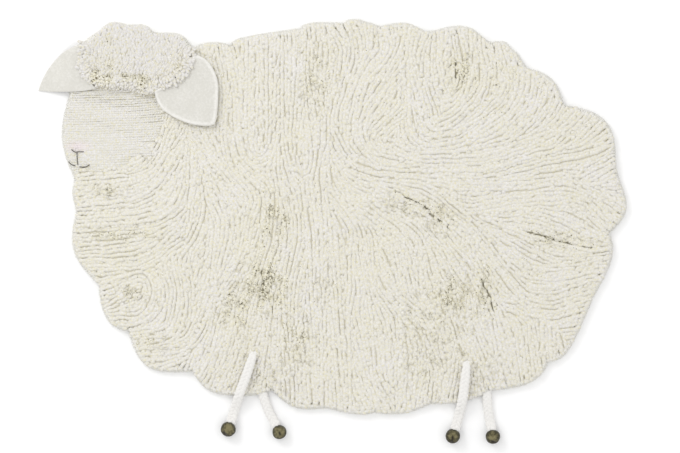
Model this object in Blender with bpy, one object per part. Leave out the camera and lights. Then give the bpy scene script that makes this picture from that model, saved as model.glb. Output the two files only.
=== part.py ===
"""A sheep-shaped tufted wool rug for a child's room, lying flat on the floor.

The sheep looks to -X with its back to +Y, and +Z is up. The rug is one slab of backing and pile
with a scalloped rim, a low face and a taller topknot, and its pile runs in furrows round a few
ridge lines. Two felt ears, four plaited cord legs and four felted balls are separate pieces.
Tables are in millimetres, and everything that is built is in metres.
"""

import math

import bmesh
import bpy
import numpy as np
from mathutils import Vector
from mathutils.geometry import delaunay_2d_cdt

MM = 0.001
GAP = 0.3 * MM  # between pieces that touch
LIFT = 0.8 * MM  # between a flap and the pile it lies on

# Pile heights over the floor, and how the rim rounds down to it
FLEECE_PILE = 14 * MM
FACE_PILE = 10 * MM
TOPKNOT_PILE = 20 * MM
PILE_STEP = 9 * MM  # width over which one pile height turns into the next
RIM_HEIGHT = 5 * MM  # the pile bulges furthest out at this height
RIM_TUCK = 3 * MM  # and the backing's cut edge lies this far inside
RIM_ROUND = 13 * MM

# Furrows in the pile, and the slow lumps under them
FURROW_PITCH = 25 * MM
FURROW_DEPTH = 3.0 * MM
LUMP_HEIGHT = 1.0 * MM
LUMP_LENGTHS = (170 * MM, 110 * MM)

# Spacing of the mesh's points
RIM_STEP = 10 * MM
CLOSEST_POINTS = 7.5 * MM
SHOULDER = 4 * MM  # a ring of points this far inside an edge, where it has rounded over

# The rim, clockwise from the topknot's left dip. Each row is one scallop: where it starts, how far
# its crest stands out from the straight line to the next row, and how far along that line.
SCALLOPS = (
    # dip x, dip y, crest, crest's place
    (-432, 317, 0, 0.50),  # topknot
    (-396, 343, 9, 0.45),
    (-347, 352, 7, 0.60),
    (-305, 340, 13, 0.62),
    (-239, 313, 7, 0.50),  # back
    (-175, 318, 7, 0.25),
    (-56, 346, 7, 0.30),
    (19, 355, 8, 0.33),
    (79, 350, 10, 0.55),
    (157, 341, 19, 0.60),
    (263, 324, 8, 0.65),
    (304, 311, 3, 0.30),
    (330, 279, 16, 0.50),  # rump
    (394, 216, 35, 0.50),
    (483, 112, 25, 0.60),
    (470, -5, 15, 0.36),
    (443, -114, 2, 0.50),
    (403, -201, 6, 0.50),
    (366, -223, 18, 0.38),
    (269, -272, 8, 0.45),  # belly
    (166, -295, 9, 0.50),
    (70, -309, 6, 0.38),
    (-8, -302, 15, 0.53),
    (-103, -272, 4, 0.50),
    (-170, -280, 13, 0.50),
    (-239, -240, 33, 0.53),  # chest
    (-348, -171, 19, 0.41),
    (-399, -92, 23, 0.52),
    (-437, 32, 5, 0.60),
    (-439, 87, 17, 0.50),  # muzzle
    (-449, 230, 2, 0.50),  # brow, under the far ear
    (-445, 265, 0, 0.50),
    (-432, 280, 0, 0.50),
)

# Where the topknot ends over face and fleece, and where the face ends in the fleece
TOPKNOT_EDGE = (
    (-440, 285), (-430, 274), (-406, 247), (-376, 240), (-342, 238), (-320, 230),
    (-302, 240), (-278, 255), (-253, 269), (-240, 291), (-231, 330),
)  # fmt: skip
FACE_EDGE = ((-306, 262), (-289, 210), (-291, 164), (-311, 130), (-354, 111), (-396, 106), (-470, 101))

# The ridge lines that the furrows run round. Each row is one line: its ends, and how far it bows
# to its left.
RIDGES = (
    # from x, y, to x, y, bow
    (-560, 158, -348, 166, 0),  # face
    (-120, 430, -120, 138, 0),  # shoulder stream
    (-54, 186, -57, 118, 0),  # small eye on the back
    (-35, 45, 26, -390, -14),  # belly stream
    (-120, 62, -233, -320, -16),  # foreleg
    (-405, -126, -314, -117, 0),  # chest eye
    (213, 329, 203, 232, 0),  # top eye
    (110, 400, 33, 215, 14),  # slant on the back
    (50, 155, 118, 176, 0),  # middle eye
    (157, 108, 570, 138, 0),  # flank fan
    (319, 6, 441, -29, 0),  # rump eye
    (29, 91, 293, -194, -62),  # haunch arch
    (179, -52, 191, -330, 0),  # inner haunch
    (293, -103, 500, -100, 18),  # low rump
    (344, -177, 361, -330, 0),  # hind leg
    (319, 206, 400, 340, 0),  # top of the rump
)
RIDGE_STEPS = 14  # points along a bowed line
SWAY = ((5.0, 0.031, 0.3), (3.0, 0.067, 1.9))  # side-sway of the furrows: mm, radians per mm, phase

# Both ears are felt flaps, outlined clockwise
FLAP_EDGE = 0.6  # share of its thickness that a flap keeps at its cut edge
FLAP_FINER = 0.7  # spacing of its points against the rug's

# Far ear: a flat flap from the topknot over the brow to the floor
EAR_LEFT = (
    (-501, 239), (-494, 257), (-483, 277), (-468, 295), (-452, 308), (-437, 316), (-436, 300),
    (-437, 281), (-431, 267), (-419, 254), (-408, 242), (-425, 238), (-449, 237), (-476, 237),
)  # fmt: skip
EAR_LEFT_THICK = 3 * MM
EAR_LEFT_FALL = 42 * MM  # the flap comes down to the floor over this width outside the rim

# Near ear: a turned flap that lies on the fleece with its rolled edge standing up
EAR_RIGHT = (
    (-303, 231), (-292, 239), (-273, 250), (-249, 265), (-236, 287), (-229, 298), (-217, 293),
    (-206, 281), (-198, 265), (-194, 248), (-194, 228), (-195, 210), (-197, 192), (-200, 182),
    (-208, 179), (-222, 179), (-241, 182), (-258, 188), (-274, 196), (-288, 206), (-297, 219),
)  # fmt: skip
EAR_RIGHT_THICK = 4 * MM
EAR_RIGHT_CURL = 4 * MM  # how far its free edge stands higher than its root
EAR_RIGHT_SPAN = 75 * MM

# Feet: felted balls with a flat spot where they stand
FOOT_SINK = 0.4 * MM
FOOT_DENTS = 0.025  # unevenness, against the radius
FOOT_RINGS = 0.02
FEET = {
    # leg: x, y, radius of its foot
    "leg_1": (-178, -337, 13.0),
    "leg_2": (-90, -342, 12.4),
    "leg_3": (204, -348, 12.6),
    "leg_4": (272, -349, 12.6),
}

# Legs: plaited cords. The first of each pair is sewn on top of the fleece, the second comes out
# from under the rim. Each row is one leg: its middle line seen from above, down to its foot.
LEG_WIDTH = 17.5 * MM
LEG_THICK = 11 * MM
LEG_SIDES = 10
LEG_STEP = 5 * MM
LEG_SLOPE = 0.55  # steepest way down to the floor and up to the foot
PLAIT_PITCH = 20 * MM
PLAIT_DEPTH = 0.9 * MM
PLAIT_SLANT = 0.35  # how far the strands lag at the sides, in pitches
LEGS = {
    "leg_1": ((-139, -206), (-146, -246), (-154, -272), (-162, -298), (-168, -315)),
    "leg_2": ((-119, -276), (-110, -303), (-100, -322)),
    "leg_3": ((228, -222), (224, -256), (220, -280), (214, -306), (209, -325)),
    "leg_4": ((262, -276), (264, -303), (268, -325)),
}


def clear_scene():
    for obj in list(bpy.data.objects):
        bpy.data.objects.remove(obj)


def material(name, colour, roughness):
    made = bpy.data.materials.new(name)
    made.use_nodes = True
    shader = made.node_tree.nodes["Principled BSDF"]
    shader.inputs["Base Color"].default_value = (*colour, 1.0)
    shader.inputs["Roughness"].default_value = roughness
    shader.inputs["Metallic"].default_value = 0.0
    return made


def add_object(name, bm, finish):
    """The bmesh as a scene object, its faces all turned outwards."""
    bmesh.ops.recalc_face_normals(bm, faces=bm.faces)
    mesh = bpy.data.meshes.new(name)
    bm.to_mesh(mesh)
    bm.free()
    mesh.shade_smooth()
    mesh.materials.append(finish)
    obj = bpy.data.objects.new(name, mesh)
    bpy.context.scene.collection.objects.link(obj)
    return obj


def scalloped_rim():
    """Points round the rim in metres, clockwise, sharp at each dip."""
    points = []
    for (x, y, crest, place), (next_x, next_y, _, _) in zip(SCALLOPS, SCALLOPS[1:] + SCALLOPS[:1]):
        start, along = np.array([x, y]) * MM, np.array([next_x - x, next_y - y]) * MM
        outward = np.array([-along[1], along[0]]) / np.linalg.norm(along)
        steps = max(2, round(np.linalg.norm(along) / RIM_STEP))
        skew = math.log(0.5) / math.log(place)
        for i in range(steps):
            t = i / steps
            points.append(start + along * t + outward * crest * MM * math.sin(math.pi * t**skew))
    return np.array(points)


def nearest_on_line(points, line, closed):
    """Distance of each point to a line of points, and on which side it lies: 1 is left."""
    starts = line if closed else line[:-1]
    ends = np.roll(line, -1, axis=0) if closed else line[1:]
    best = np.full(len(points), np.inf)
    side = np.ones(len(points))
    for start, end in zip(starts, ends):
        along = end - start
        offset = points - start
        t = np.clip(offset @ along / (along @ along), 0, 1)
        distance = np.linalg.norm(offset - t[:, None] * along, axis=1)
        cross = along[0] * offset[:, 1] - along[1] * offset[:, 0]
        closer = distance < best - 1e-9
        best = np.where(closer, distance, best)
        side = np.where(closer, np.where(cross >= 0, 1.0, -1.0), side)
    return best, side


def table_line(rows):
    return np.array(rows, float) * MM


RIM = scalloped_rim()
KNOT_LINE = table_line(TOPKNOT_EDGE)
FACE_LINE = table_line(FACE_EDGE)


def inside_rim(points):
    """How far each point lies inside the rim; outside it is negative."""
    distance, _ = nearest_on_line(points, RIM, True)
    x, y = points[:, 0], points[:, 1]
    crossings = np.zeros(len(points), bool)
    for (x0, y0), (x1, y1) in zip(RIM, np.roll(RIM, -1, axis=0)):
        if y0 != y1:
            spans = (y0 > y) != (y1 > y)
            crossings ^= spans & (x < x0 + (y - y0) * (x1 - x0) / (y1 - y0))
    return np.where(crossings, distance, -distance)


def ridge_line(row):
    """Points along one ridge line, bowed as an arc."""
    from_x, from_y, to_x, to_y, bow = np.array(row) * MM
    start, along = np.array([from_x, from_y]), np.array([to_x - from_x, to_y - from_y])
    left = np.array([-along[1], along[0]]) / np.linalg.norm(along)
    t = np.linspace(0, 1, RIDGE_STEPS if bow else 2)[:, None]
    return start + along * t + left * bow * 4 * t * (1 - t)


def pile_field(points):
    """Distance from the nearest ridge line: furrows follow its level lines."""
    swayed = points.copy()
    for reach, turn, phase in SWAY:
        swayed[:, 0] += reach * MM * np.sin(points[:, 1] / MM * turn + phase)
        swayed[:, 1] += reach * MM * np.sin(points[:, 0] / MM * turn + 2 * phase)
    return np.min([nearest_on_line(swayed, ridge_line(row), False)[0] for row in RIDGES], axis=0)


def blend(value):
    t = np.clip(value / PILE_STEP + 0.5, 0, 1)
    return t * t * (3 - 2 * t)


def pile_height(points):
    """Height of the pile over the floor, with its furrows and lumps."""
    knot_distance, knot_side = nearest_on_line(points, KNOT_LINE, False)
    face_distance, face_side = nearest_on_line(points, FACE_LINE, False)
    knot = blend(knot_distance * knot_side)
    face = blend(-face_distance * face_side) * (1 - knot)
    fleece = 1 - knot - face
    level = fleece * FLEECE_PILE + face * FACE_PILE + knot * TOPKNOT_PILE
    furrow = np.cos(2 * math.pi * pile_field(points) / FURROW_PITCH) - 1
    lump = sum(
        np.sin(points[:, 0] * 2 * math.pi / length + i) * np.sin(points[:, 1] * 2 * math.pi / length + 2 * i)
        for i, length in enumerate(LUMP_LENGTHS)
    )
    level += fleece * FURROW_DEPTH / 2 * furrow + (1 - face) * LUMP_HEIGHT * lump
    inward = np.clip(inside_rim(points) / RIM_ROUND, 0, 1)
    return RIM_HEIGHT + (level - RIM_HEIGHT) * np.sqrt(1 - (1 - inward) ** 2)


def furrow_points():
    """Points where ridges and furrow bottoms cross a square net, on the thread they cross most squarely."""
    step = FURROW_PITCH / 2
    fine = step / 8
    low, high = RIM.min(axis=0), RIM.max(axis=0)
    found = []
    for axis in (0, 1):
        threads = np.arange(low[axis], high[axis], step)
        places = np.arange(low[1 - axis], high[1 - axis], fine)
        net = np.empty((len(threads), len(places), 2))
        net[..., axis] = threads[:, None]
        net[..., 1 - axis] = places
        level = pile_field(net.reshape(-1, 2)).reshape(net.shape[:2]) / step
        across = np.gradient(level, fine, axis=1)
        along = np.gradient(level, step, axis=0)
        crosses = np.floor(level[:, :-1]) != np.floor(level[:, 1:])
        square = np.abs(across[:, :-1]) >= np.abs(along[:, :-1])
        i, j = np.nonzero(crosses & square)
        whole = np.maximum(np.floor(level[i, j]), np.floor(level[i, j + 1]))
        t = (whole - level[i, j]) / (level[i, j + 1] - level[i, j])
        found.append(net[i, j] + t[:, None] * (net[i, j + 1] - net[i, j]))
    return np.concatenate(found)


def thin_out(groups, closest):
    """The points of each group in turn, without those too close to one kept before."""
    kept = []
    cells = {}
    for group in groups:
        for point in group:
            home = (int(point[0] // closest), int(point[1] // closest))
            near = [
                other
                for dx in (-1, 0, 1)
                for dy in (-1, 0, 1)
                for other in cells.get((home[0] + dx, home[1] + dy), ())
            ]
            if all(math.hypot(*(point - other)) >= closest for other in near):
                cells.setdefault(home, []).append(point)
                kept.append(point)
    return np.array(kept)


def offset_ring(ring, distance):
    """A ring of points moved inwards along the corner's half angle; the ring runs clockwise."""
    before, after = np.roll(ring, 1, axis=0), np.roll(ring, -1, axis=0)
    along = after - before
    inward = np.stack([along[:, 1], -along[:, 0]], axis=1)
    return ring + distance * inward / np.linalg.norm(inward, axis=1)[:, None]


def side_lines(line, distance):
    """Points along both sides of a line, so that a step in the pile gets its own edges."""
    lengths = np.linalg.norm(np.diff(line, axis=0), axis=1)
    ends = np.concatenate([[0], np.cumsum(lengths)])
    places = np.arange(0, ends[-1], RIM_STEP)
    middle = np.stack([np.interp(places, ends, line[:, k]) for k in (0, 1)], axis=1)
    along = np.gradient(middle, axis=0)
    left = np.stack([-along[:, 1], along[:, 0]], axis=1)
    left /= np.linalg.norm(left, axis=1)[:, None]
    return np.concatenate([middle + distance * left, middle - distance * left])


def triangulate(ring, inner):
    """Triangles inside the ring, over its own points and the inner ones."""
    points = [Vector(p) for p in np.concatenate([ring, inner])]
    outline = [list(range(len(ring)))]
    flat, _, faces, _, _, _ = delaunay_2d_cdt(points, [], outline, 1, 1e-6)
    return np.array([tuple(p) for p in flat]), faces


def slab(points, faces, ring_size, top, bottom):
    """A closed body over one triangulation: its top surface, its underside and the wall between."""
    bm = bmesh.new()
    upper = [bm.verts.new((x, y, z)) for (x, y), z in zip(points, top)]
    lower = [bm.verts.new((x, y, z)) for (x, y), z in zip(points, bottom)]
    for face in faces:
        bm.faces.new([upper[i] for i in face])
        bm.faces.new([lower[i] for i in reversed(face)])
    for i in range(ring_size):
        j = (i + 1) % ring_size
        bm.faces.new([upper[j], upper[i], lower[i], lower[j]])
    return bm


def tufted_rug():
    """Backing and pile in one body: the furrowed top, the bulging rim and the flat underside."""
    groups = (
        # points, how far inside the rim they have to lie
        (offset_ring(RIM, SHOULDER), 3 * MM),
        (offset_ring(RIM, RIM_ROUND), RIM_ROUND - 2 * MM),
        (side_lines(KNOT_LINE, PILE_STEP / 2), RIM_ROUND + 3 * MM),
        (side_lines(FACE_LINE, PILE_STEP / 2), RIM_ROUND + 3 * MM),
        (furrow_points(), RIM_ROUND + 4 * MM),
    )
    inside = [group[inside_rim(group) > limit] for group, limit in groups]
    points, faces = triangulate(RIM, thin_out(inside, CLOSEST_POINTS))
    heights = pile_height(points)
    bm = bmesh.new()
    verts = [bm.verts.new((x, y, z)) for (x, y), z in zip(points, heights)]
    for face in faces:
        bm.faces.new([verts[i] for i in face])
    foot = [bm.verts.new((x, y, 0)) for x, y in offset_ring(RIM, RIM_TUCK)]
    for i in range(len(RIM)):
        j = (i + 1) % len(RIM)
        bm.faces.new([verts[j], verts[i], foot[i], foot[j]])
    bm.faces.new(foot)
    return add_object("tufted_rug", bm, material("cream wool", (0.80, 0.78, 0.71), 0.95))


def felt_flap(name, table, thickness, underside, finish):
    """A flat-cut flap whose underside follows a height function, with a softened edge."""
    ring = table_line(table)
    low, high = ring.min(axis=0), ring.max(axis=0)
    across, up = np.meshgrid(np.arange(low[0], high[0], RIM_STEP), np.arange(low[1], high[1], RIM_STEP))
    grid = np.stack([across.ravel(), up.ravel()], axis=1)
    distance, _ = nearest_on_line(grid, ring, True)
    inner = [offset_ring(ring, SHOULDER), grid[distance > CLOSEST_POINTS]]
    points, faces = triangulate(ring, thin_out(inner, CLOSEST_POINTS * FLAP_FINER))
    edge, _ = nearest_on_line(points, ring, True)
    half = np.where(edge < MM, FLAP_EDGE, 1.0) * thickness / 2
    middle = underside(points) + thickness / 2
    bm = slab(points, faces, len(ring), middle + half, middle - half)
    return add_object(name, bm, finish)


def highest_pile_near(points, reach=CLOSEST_POINTS / 2):
    """The highest pile within a reach, so that what lies on it clears the facets as well."""
    turns = [(0, 0)] + [(math.cos(a), math.sin(a)) for a in np.linspace(0, 2 * math.pi, 8, endpoint=False)]
    return np.max([pile_height(points + np.array(turn) * reach) for turn in turns], axis=0)


def ear_left_underside(points):
    """On the brow's pile, then down to the floor outside the rim."""
    outward = np.clip(-inside_rim(points) / EAR_LEFT_FALL, 0, 1)
    fall = FACE_PILE * (0.5 + 0.5 * np.cos(math.pi * outward))
    carried = np.where(inside_rim(points) > 0, highest_pile_near(points), 0)
    return LIFT + np.maximum(fall, carried)


def ear_right_underside(points):
    """On the fleece and the topknot's foot at its root, rising to its free edge."""
    away = np.clip(nearest_on_line(points, KNOT_LINE, False)[0] / EAR_RIGHT_SPAN, 0, 1)
    return LIFT + np.maximum(FLEECE_PILE + EAR_RIGHT_CURL * away**2, highest_pile_near(points))


def smooth_route(knots, step):
    """Points at even steps on a smooth curve through the knots, and how far along each lies."""
    padded = np.concatenate([[2 * knots[0] - knots[1]], knots, [2 * knots[-1] - knots[-2]]])
    dense = []
    for a, b, c, d in zip(padded, padded[1:], padded[2:], padded[3:]):
        for t in np.linspace(0, 1, 20, endpoint=False):
            bend = 2 * a - 5 * b + 4 * c - d
            twist = 3 * b - a - 3 * c + d
            dense.append(0.5 * (2 * b + (c - a) * t + bend * t**2 + twist * t**3))
    dense = np.array(dense + [knots[-1]])
    lengths = np.concatenate([[0], np.cumsum(np.linalg.norm(np.diff(dense, axis=0), axis=1))])
    places = np.linspace(0, lengths[-1], round(lengths[-1] / step) + 1)
    return np.stack([np.interp(places, lengths, dense[:, k]) for k in (0, 1)], axis=1), places


def seat_at_rim(root, following):
    """The root moved along the leg until its whole width just clears the rim."""
    heading = (following - root) / np.linalg.norm(following - root)
    side = np.array([-heading[1], heading[0]]) * LEG_WIDTH / 2
    widths = np.linspace(-1, 1, 9)[:, None] * side
    while np.max(inside_rim(root + widths)) > -GAP:
        root = root + heading * 0.1 * MM
    return root


def leg_route(name):
    """The leg's middle line: over the fleece, down to the floor and up to the middle of its foot."""
    knots = table_line(LEGS[name])
    x, y, radius = np.array(FEET[name]) * MM
    foot = np.array([x, y])
    towards_leg = (knots[-1] - foot) / np.linalg.norm(knots[-1] - foot)
    knots = np.concatenate([knots[:-1], [foot + towards_leg * (radius + GAP)]])
    if inside_rim(knots[:1])[0] < LEG_WIDTH:
        knots[0] = seat_at_rim(knots[0], knots[1])
    flat, places = smooth_route(knots, LEG_STEP)
    over_rug = (inside_rim(flat) > -LEG_WIDTH / 2) & (inside_rim(flat[:1])[0] > 0)
    carried = highest_pile_near(flat, LEG_WIDTH / 6) + GAP
    wanted = LEG_THICK / 2 + np.where(over_rug, carried, GAP)
    wanted[-2:] = radius - FOOT_SINK
    apart = np.abs(places[:, None] - places[None, :])
    heights = np.max(wanted[None, :] - LEG_SLOPE * apart, axis=1)
    return np.concatenate([flat, heights[:, None]], axis=1), places


def plaited_leg(name, finish):
    """A flat-oval cord whose three strands cross as chevrons along it."""
    route, places = leg_route(name)
    tangents = np.gradient(route, axis=0)
    tangents[[0, -1], 2] = 0  # both ends are cut upright
    bm = bmesh.new()
    rings = []
    for point, tangent, place in zip(route, tangents, places):
        forward = Vector(tangent).normalized()
        side = forward.cross(Vector((0, 0, 1))).normalized()
        up = side.cross(forward)
        ring = []
        for i in range(LEG_SIDES):
            angle = 2 * math.pi * i / LEG_SIDES
            half_turn = 0.5 if math.cos(angle) > 0 else 0
            chevron = place / PLAIT_PITCH + PLAIT_SLANT * abs(math.cos(angle)) + half_turn
            swell = PLAIT_DEPTH * (0.5 * math.cos(2 * math.pi * chevron) - 0.5)
            across = (LEG_WIDTH / 2 + swell) * math.cos(angle)
            high = (LEG_THICK / 2 + swell) * math.sin(angle)
            ring.append(bm.verts.new(Vector(point) + side * across + up * high))
        rings.append(ring)
    for first, second in zip(rings, rings[1:]):
        for i in range(LEG_SIDES):
            j = (i + 1) % LEG_SIDES
            bm.faces.new([first[i], first[j], second[j], second[i]])
    bm.faces.new(rings[0])
    bm.faces.new(list(reversed(rings[-1])))
    return add_object(name, bm, finish)


def felted_foot(name, x, y, radius, finish):
    """A ball of felt, a little uneven, with a flat spot on the floor."""
    bm = bmesh.new()
    bmesh.ops.create_uvsphere(bm, u_segments=16, v_segments=10, radius=radius * MM)
    for vert in bm.verts:
        a, b, c = vert.co / (radius * MM)
        vert.co *= 1 + FOOT_DENTS * math.sin(3 * a + x) * math.sin(4 * b + y) - FOOT_RINGS * math.cos(5 * c)
        vert.co.z = max(vert.co.z + radius * MM - FOOT_SINK, 0)
        vert.co.x += x * MM
        vert.co.y += y * MM
    return add_object(name, bm, finish)


def main():
    clear_scene()
    tufted_rug()
    felt = material("ear felt", (0.80, 0.78, 0.75), 0.9)
    felt_flap("ear_left", EAR_LEFT, EAR_LEFT_THICK, ear_left_underside, felt)
    felt_flap("ear_right", EAR_RIGHT, EAR_RIGHT_THICK, ear_right_underside, felt)
    cord = material("white cord", (0.88, 0.88, 0.87), 0.9)
    wool = material("olive felt", (0.16, 0.14, 0.09), 0.95)
    for name, foot in FEET.items():
        plaited_leg(name, cord)
        felted_foot(name.replace("leg", "foot"), *foot, wool)


main()
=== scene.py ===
# %% [markdown]
# # A wool rug in the shape of a sheep
# The real rug is a cotton cloth with thousands of wool tufts tied in, row after row. The rows are
# laid like combed hair, so the fleece seems to flow. The face has short pile, the topknot is long
# and curly, two felt ears and four cotton legs are sewn on, and each leg ends in a felted ball.
#
# The solids of the packed model say where everything is. We load them first and never move them:
# each new piece is built in the same place and stands for a solid, which is then hidden.

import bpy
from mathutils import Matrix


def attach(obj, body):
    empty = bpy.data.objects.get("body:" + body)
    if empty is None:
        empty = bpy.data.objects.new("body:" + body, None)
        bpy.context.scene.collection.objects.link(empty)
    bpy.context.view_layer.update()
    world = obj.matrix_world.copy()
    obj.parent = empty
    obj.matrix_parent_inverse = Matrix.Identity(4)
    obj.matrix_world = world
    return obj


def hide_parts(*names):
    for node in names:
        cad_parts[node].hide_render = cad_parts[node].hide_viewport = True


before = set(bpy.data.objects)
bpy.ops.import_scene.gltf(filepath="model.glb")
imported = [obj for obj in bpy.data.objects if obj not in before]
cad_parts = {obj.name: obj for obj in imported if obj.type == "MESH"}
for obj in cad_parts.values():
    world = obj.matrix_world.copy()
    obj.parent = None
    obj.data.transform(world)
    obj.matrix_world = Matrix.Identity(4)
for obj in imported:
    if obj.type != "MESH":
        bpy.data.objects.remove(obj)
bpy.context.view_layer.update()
print("solids:", ", ".join(sorted(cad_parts)))

# %% Tools and units
import cmath
import math
from collections import deque, namedtuple
from functools import partial

import bmesh
import bpy
import numpy as np
from mathutils import Vector
from mathutils.geometry import delaunay_2d_cdt

MM = 0.001
BODY = "root"
dice = np.random.default_rng(11)  # one seeded source of chance, so every run makes the same rug


def unit(vectors):
    """Each row made 1 long."""
    return vectors / np.linalg.norm(vectors, axis=1)[:, None]


def turned_right(vectors):
    """Each row turned right by a quarter turn."""
    return np.column_stack([vectors[:, 1], -vectors[:, 0]])


def square_net(low, high, spacing):
    """Points in even columns and lines between two corners."""
    across, up = np.meshgrid(np.arange(low[0], high[0], spacing), np.arange(low[1], high[1], spacing))
    return np.column_stack([across.ravel(), up.ravel()])


def hump(distance, place, width):
    """1 where the distance is the place, and towards 0 beyond the width on both sides."""
    return np.exp(-(((distance - place) / width) ** 2))


def near_cells(cells, place, width):
    """What is kept in the cell of a place and in the eight round it; cells are so wide."""
    column, line = int(place[0] // width), int(place[1] // width)
    for i in (column - 1, column, column + 1):
        for j in (line - 1, line, line + 1):
            yield from cells.get((i, j), ())


# %% [markdown]
# ## The camera
# The rug was photographed from straight above, from far away. A long lens high up does the same:
# it shows no perspective, so a millimetre is the same number of pixels all over the picture.

# %% Camera at the photograph's viewing angle
PHOTO_WIDE, PHOTO_HIGH = 680, 453  # pixels
MM_PER_PIXEL = 1.702
ORIGIN_PIXEL_X, ORIGIN_PIXEL_Y = 332.75, 231.25  # where the middle of the rug is in the picture
CAMERA_HEIGHT = 6.0
SENSOR = 36.0


def pixel_place(x, y):
    """The point on the floor, in metres, that shows at a pixel of the photograph."""
    return (x - ORIGIN_PIXEL_X) * MM_PER_PIXEL * MM, (ORIGIN_PIXEL_Y - y) * MM_PER_PIXEL * MM


lens = bpy.data.cameras.new("camera")
lens.sensor_width = SENSOR
lens.lens = SENSOR * CAMERA_HEIGHT / (PHOTO_WIDE * MM_PER_PIXEL * MM)
camera = bpy.data.objects.new("camera", lens)
camera.location = (*pixel_place(PHOTO_WIDE / 2, PHOTO_HIGH / 2), CAMERA_HEIGHT)
bpy.context.scene.collection.objects.link(camera)
bpy.context.scene.camera = camera
print(f"lens {lens.lens:.1f} mm at {CAMERA_HEIGHT} m")

# %% [markdown]
# ## Floor and light
# The floor is almost white, so that it nearly vanishes. A big lamp from the upper left draws the
# grooves between the rows and a thin shadow beside the ear, and a white sky fills them again. Both
# are large, because small lamps would give hard shadows that no studio picture of a rug has.

# %% Floor, lamp and sky
FLOOR_SIZE = 40.0
FLOOR_COLOUR, FLOOR_ROUGHNESS = (0.97, 0.97, 0.97, 1), 0.9
LAMP_PLACE = Vector((-2.0, 2.2, 2.6))
LAMP_SIZE = 1.6
LAMP_POWER = 33.0
SKY_STRENGTH = 1.0


def add_object(name, data):
    made = bpy.data.objects.new(name, data)
    bpy.context.scene.collection.objects.link(made)
    return made


def point_values(mesh, key, values):
    """Gives the mesh a number at each point, for its material to read."""
    mesh.attributes.new(key, "FLOAT", "POINT").data.foreach_set("value", np.float32(values))


def mesh_object(name, bm, finish, smooth=True):
    """The bmesh as an object at the origin, with its faces outwards."""
    bmesh.ops.recalc_face_normals(bm, faces=bm.faces)
    mesh = bpy.data.meshes.new(name)
    bm.to_mesh(mesh)
    bm.free()
    if smooth:
        mesh.shade_smooth()
    mesh.materials.append(finish)
    return add_object(name, mesh)


floor_paint = bpy.data.materials.new("floor paint")
floor_paint.use_nodes = True
floor_shader = floor_paint.node_tree.nodes["Principled BSDF"]
floor_shader.inputs["Base Color"].default_value = FLOOR_COLOUR
floor_shader.inputs["Roughness"].default_value = FLOOR_ROUGHNESS

bm = bmesh.new()
bmesh.ops.create_grid(bm, x_segments=1, y_segments=1, size=FLOOR_SIZE / 2)
floor = mesh_object("floor", bm, floor_paint)

lamp = bpy.data.lights.new("lamp", "AREA")
lamp.shape, lamp.size, lamp.energy = "DISK", LAMP_SIZE, LAMP_POWER
lamp_object = add_object("lamp", lamp)
lamp_object.location = LAMP_PLACE
lamp_object.rotation_euler = (-LAMP_PLACE).to_track_quat("-Z", "Y").to_euler()

sky = bpy.data.worlds.new("sky")
sky.use_nodes = True
sky_light = sky.node_tree.nodes["Background"]
sky_light.inputs["Color"].default_value = (1, 1, 1, 1)
sky_light.inputs["Strength"].default_value = SKY_STRENGTH
bpy.context.scene.world = sky
bpy.context.scene.view_settings.view_transform = "Standard"
print("floor, lamp and sky")

# %% [markdown]
# ## Sums in materials
# A material's maths is a web of small nodes. Wrapping a socket in a class with Python's own
# operators lets us write `1 - tip * 0.5` instead, and each operator adds its Math node.

# %% A socket that can be calculated with
SPECULAR, SHEEN_ROUGHNESS = 0.2, 0.6  # wool, felt and cotton hardly shine


class Signal:
    """One output socket of a material's node."""

    def __init__(self, socket):
        self.socket = socket

    def node(self, kind, settings, values, out=0):
        """Adds a node of any type: its settings first, then what goes into its sockets."""
        made = self.socket.id_data.nodes.new(kind)
        for key, setting in settings.items():
            setattr(made, key, setting)
        for key, value in values.items():
            feed(value, made.inputs[key])
        return Signal(made.outputs[out])

    def maths(self, operation, first, second):
        return self.node("ShaderNodeMath", {"operation": operation}, {0: first, 1: second})

    def __add__(self, other):
        return self.maths("ADD", self, other)

    def __sub__(self, other):
        return self.maths("SUBTRACT", self, other)

    def __rsub__(self, other):
        return self.maths("SUBTRACT", other, self)

    def __mul__(self, other):
        return self.maths("MULTIPLY", self, other)

    def __pow__(self, other):
        return self.maths("POWER", self, other)

    def clamp(self):
        return self.node("ShaderNodeClamp", {}, {"Value": self})

    def mix(self, first, second):
        """From the first colour to the second as this value goes from 0 to 1."""
        values = {0: self.clamp(), 6: first, 7: second}
        return self.node("ShaderNodeMix", {"data_type": "RGBA"}, values, out=2)

    def noise(self, scale, detail=2.0):
        """Clouds from 0 to 1 on this vector, so many to the metre."""
        return self.node("ShaderNodeTexNoise", {}, {"Vector": self, "Scale": scale, "Detail": detail})

    def vector_maths(self, operation, other, out=0):
        return self.node("ShaderNodeVectorMath", {"operation": operation}, {0: self, 1: other}, out)

    def attribute(self, name):
        """A value that the mesh carries at its points."""
        return self.node("ShaderNodeAttribute", {"attribute_name": name}, {}, out=2)

    def bumped(self, depth):
        """A surface normal for this height, which is from 0 to 1 for the depth in metres."""
        return self.node("ShaderNodeBump", {}, {"Height": self, "Distance": depth, "Strength": 1.0})


def feed(value, socket):
    if isinstance(value, Signal):
        socket.id_data.links.new(value.socket, socket)
    else:
        socket.default_value = value


def new_finish(name, roughness, sheen):
    """A new material with its shader, and the object's own coordinates as a signal."""
    made = bpy.data.materials.new(name)
    made.use_nodes = True
    shader = made.node_tree.nodes["Principled BSDF"]
    shader.inputs["Roughness"].default_value = roughness
    shader.inputs["Specular IOR Level"].default_value = SPECULAR
    shader.inputs["Sheen Weight"].default_value = sheen
    shader.inputs["Sheen Roughness"].default_value = SHEEN_ROUGHNESS
    coordinates = made.node_tree.nodes.new("ShaderNodeTexCoord")
    return made, shader, Signal(coordinates.outputs["Object"])


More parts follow.
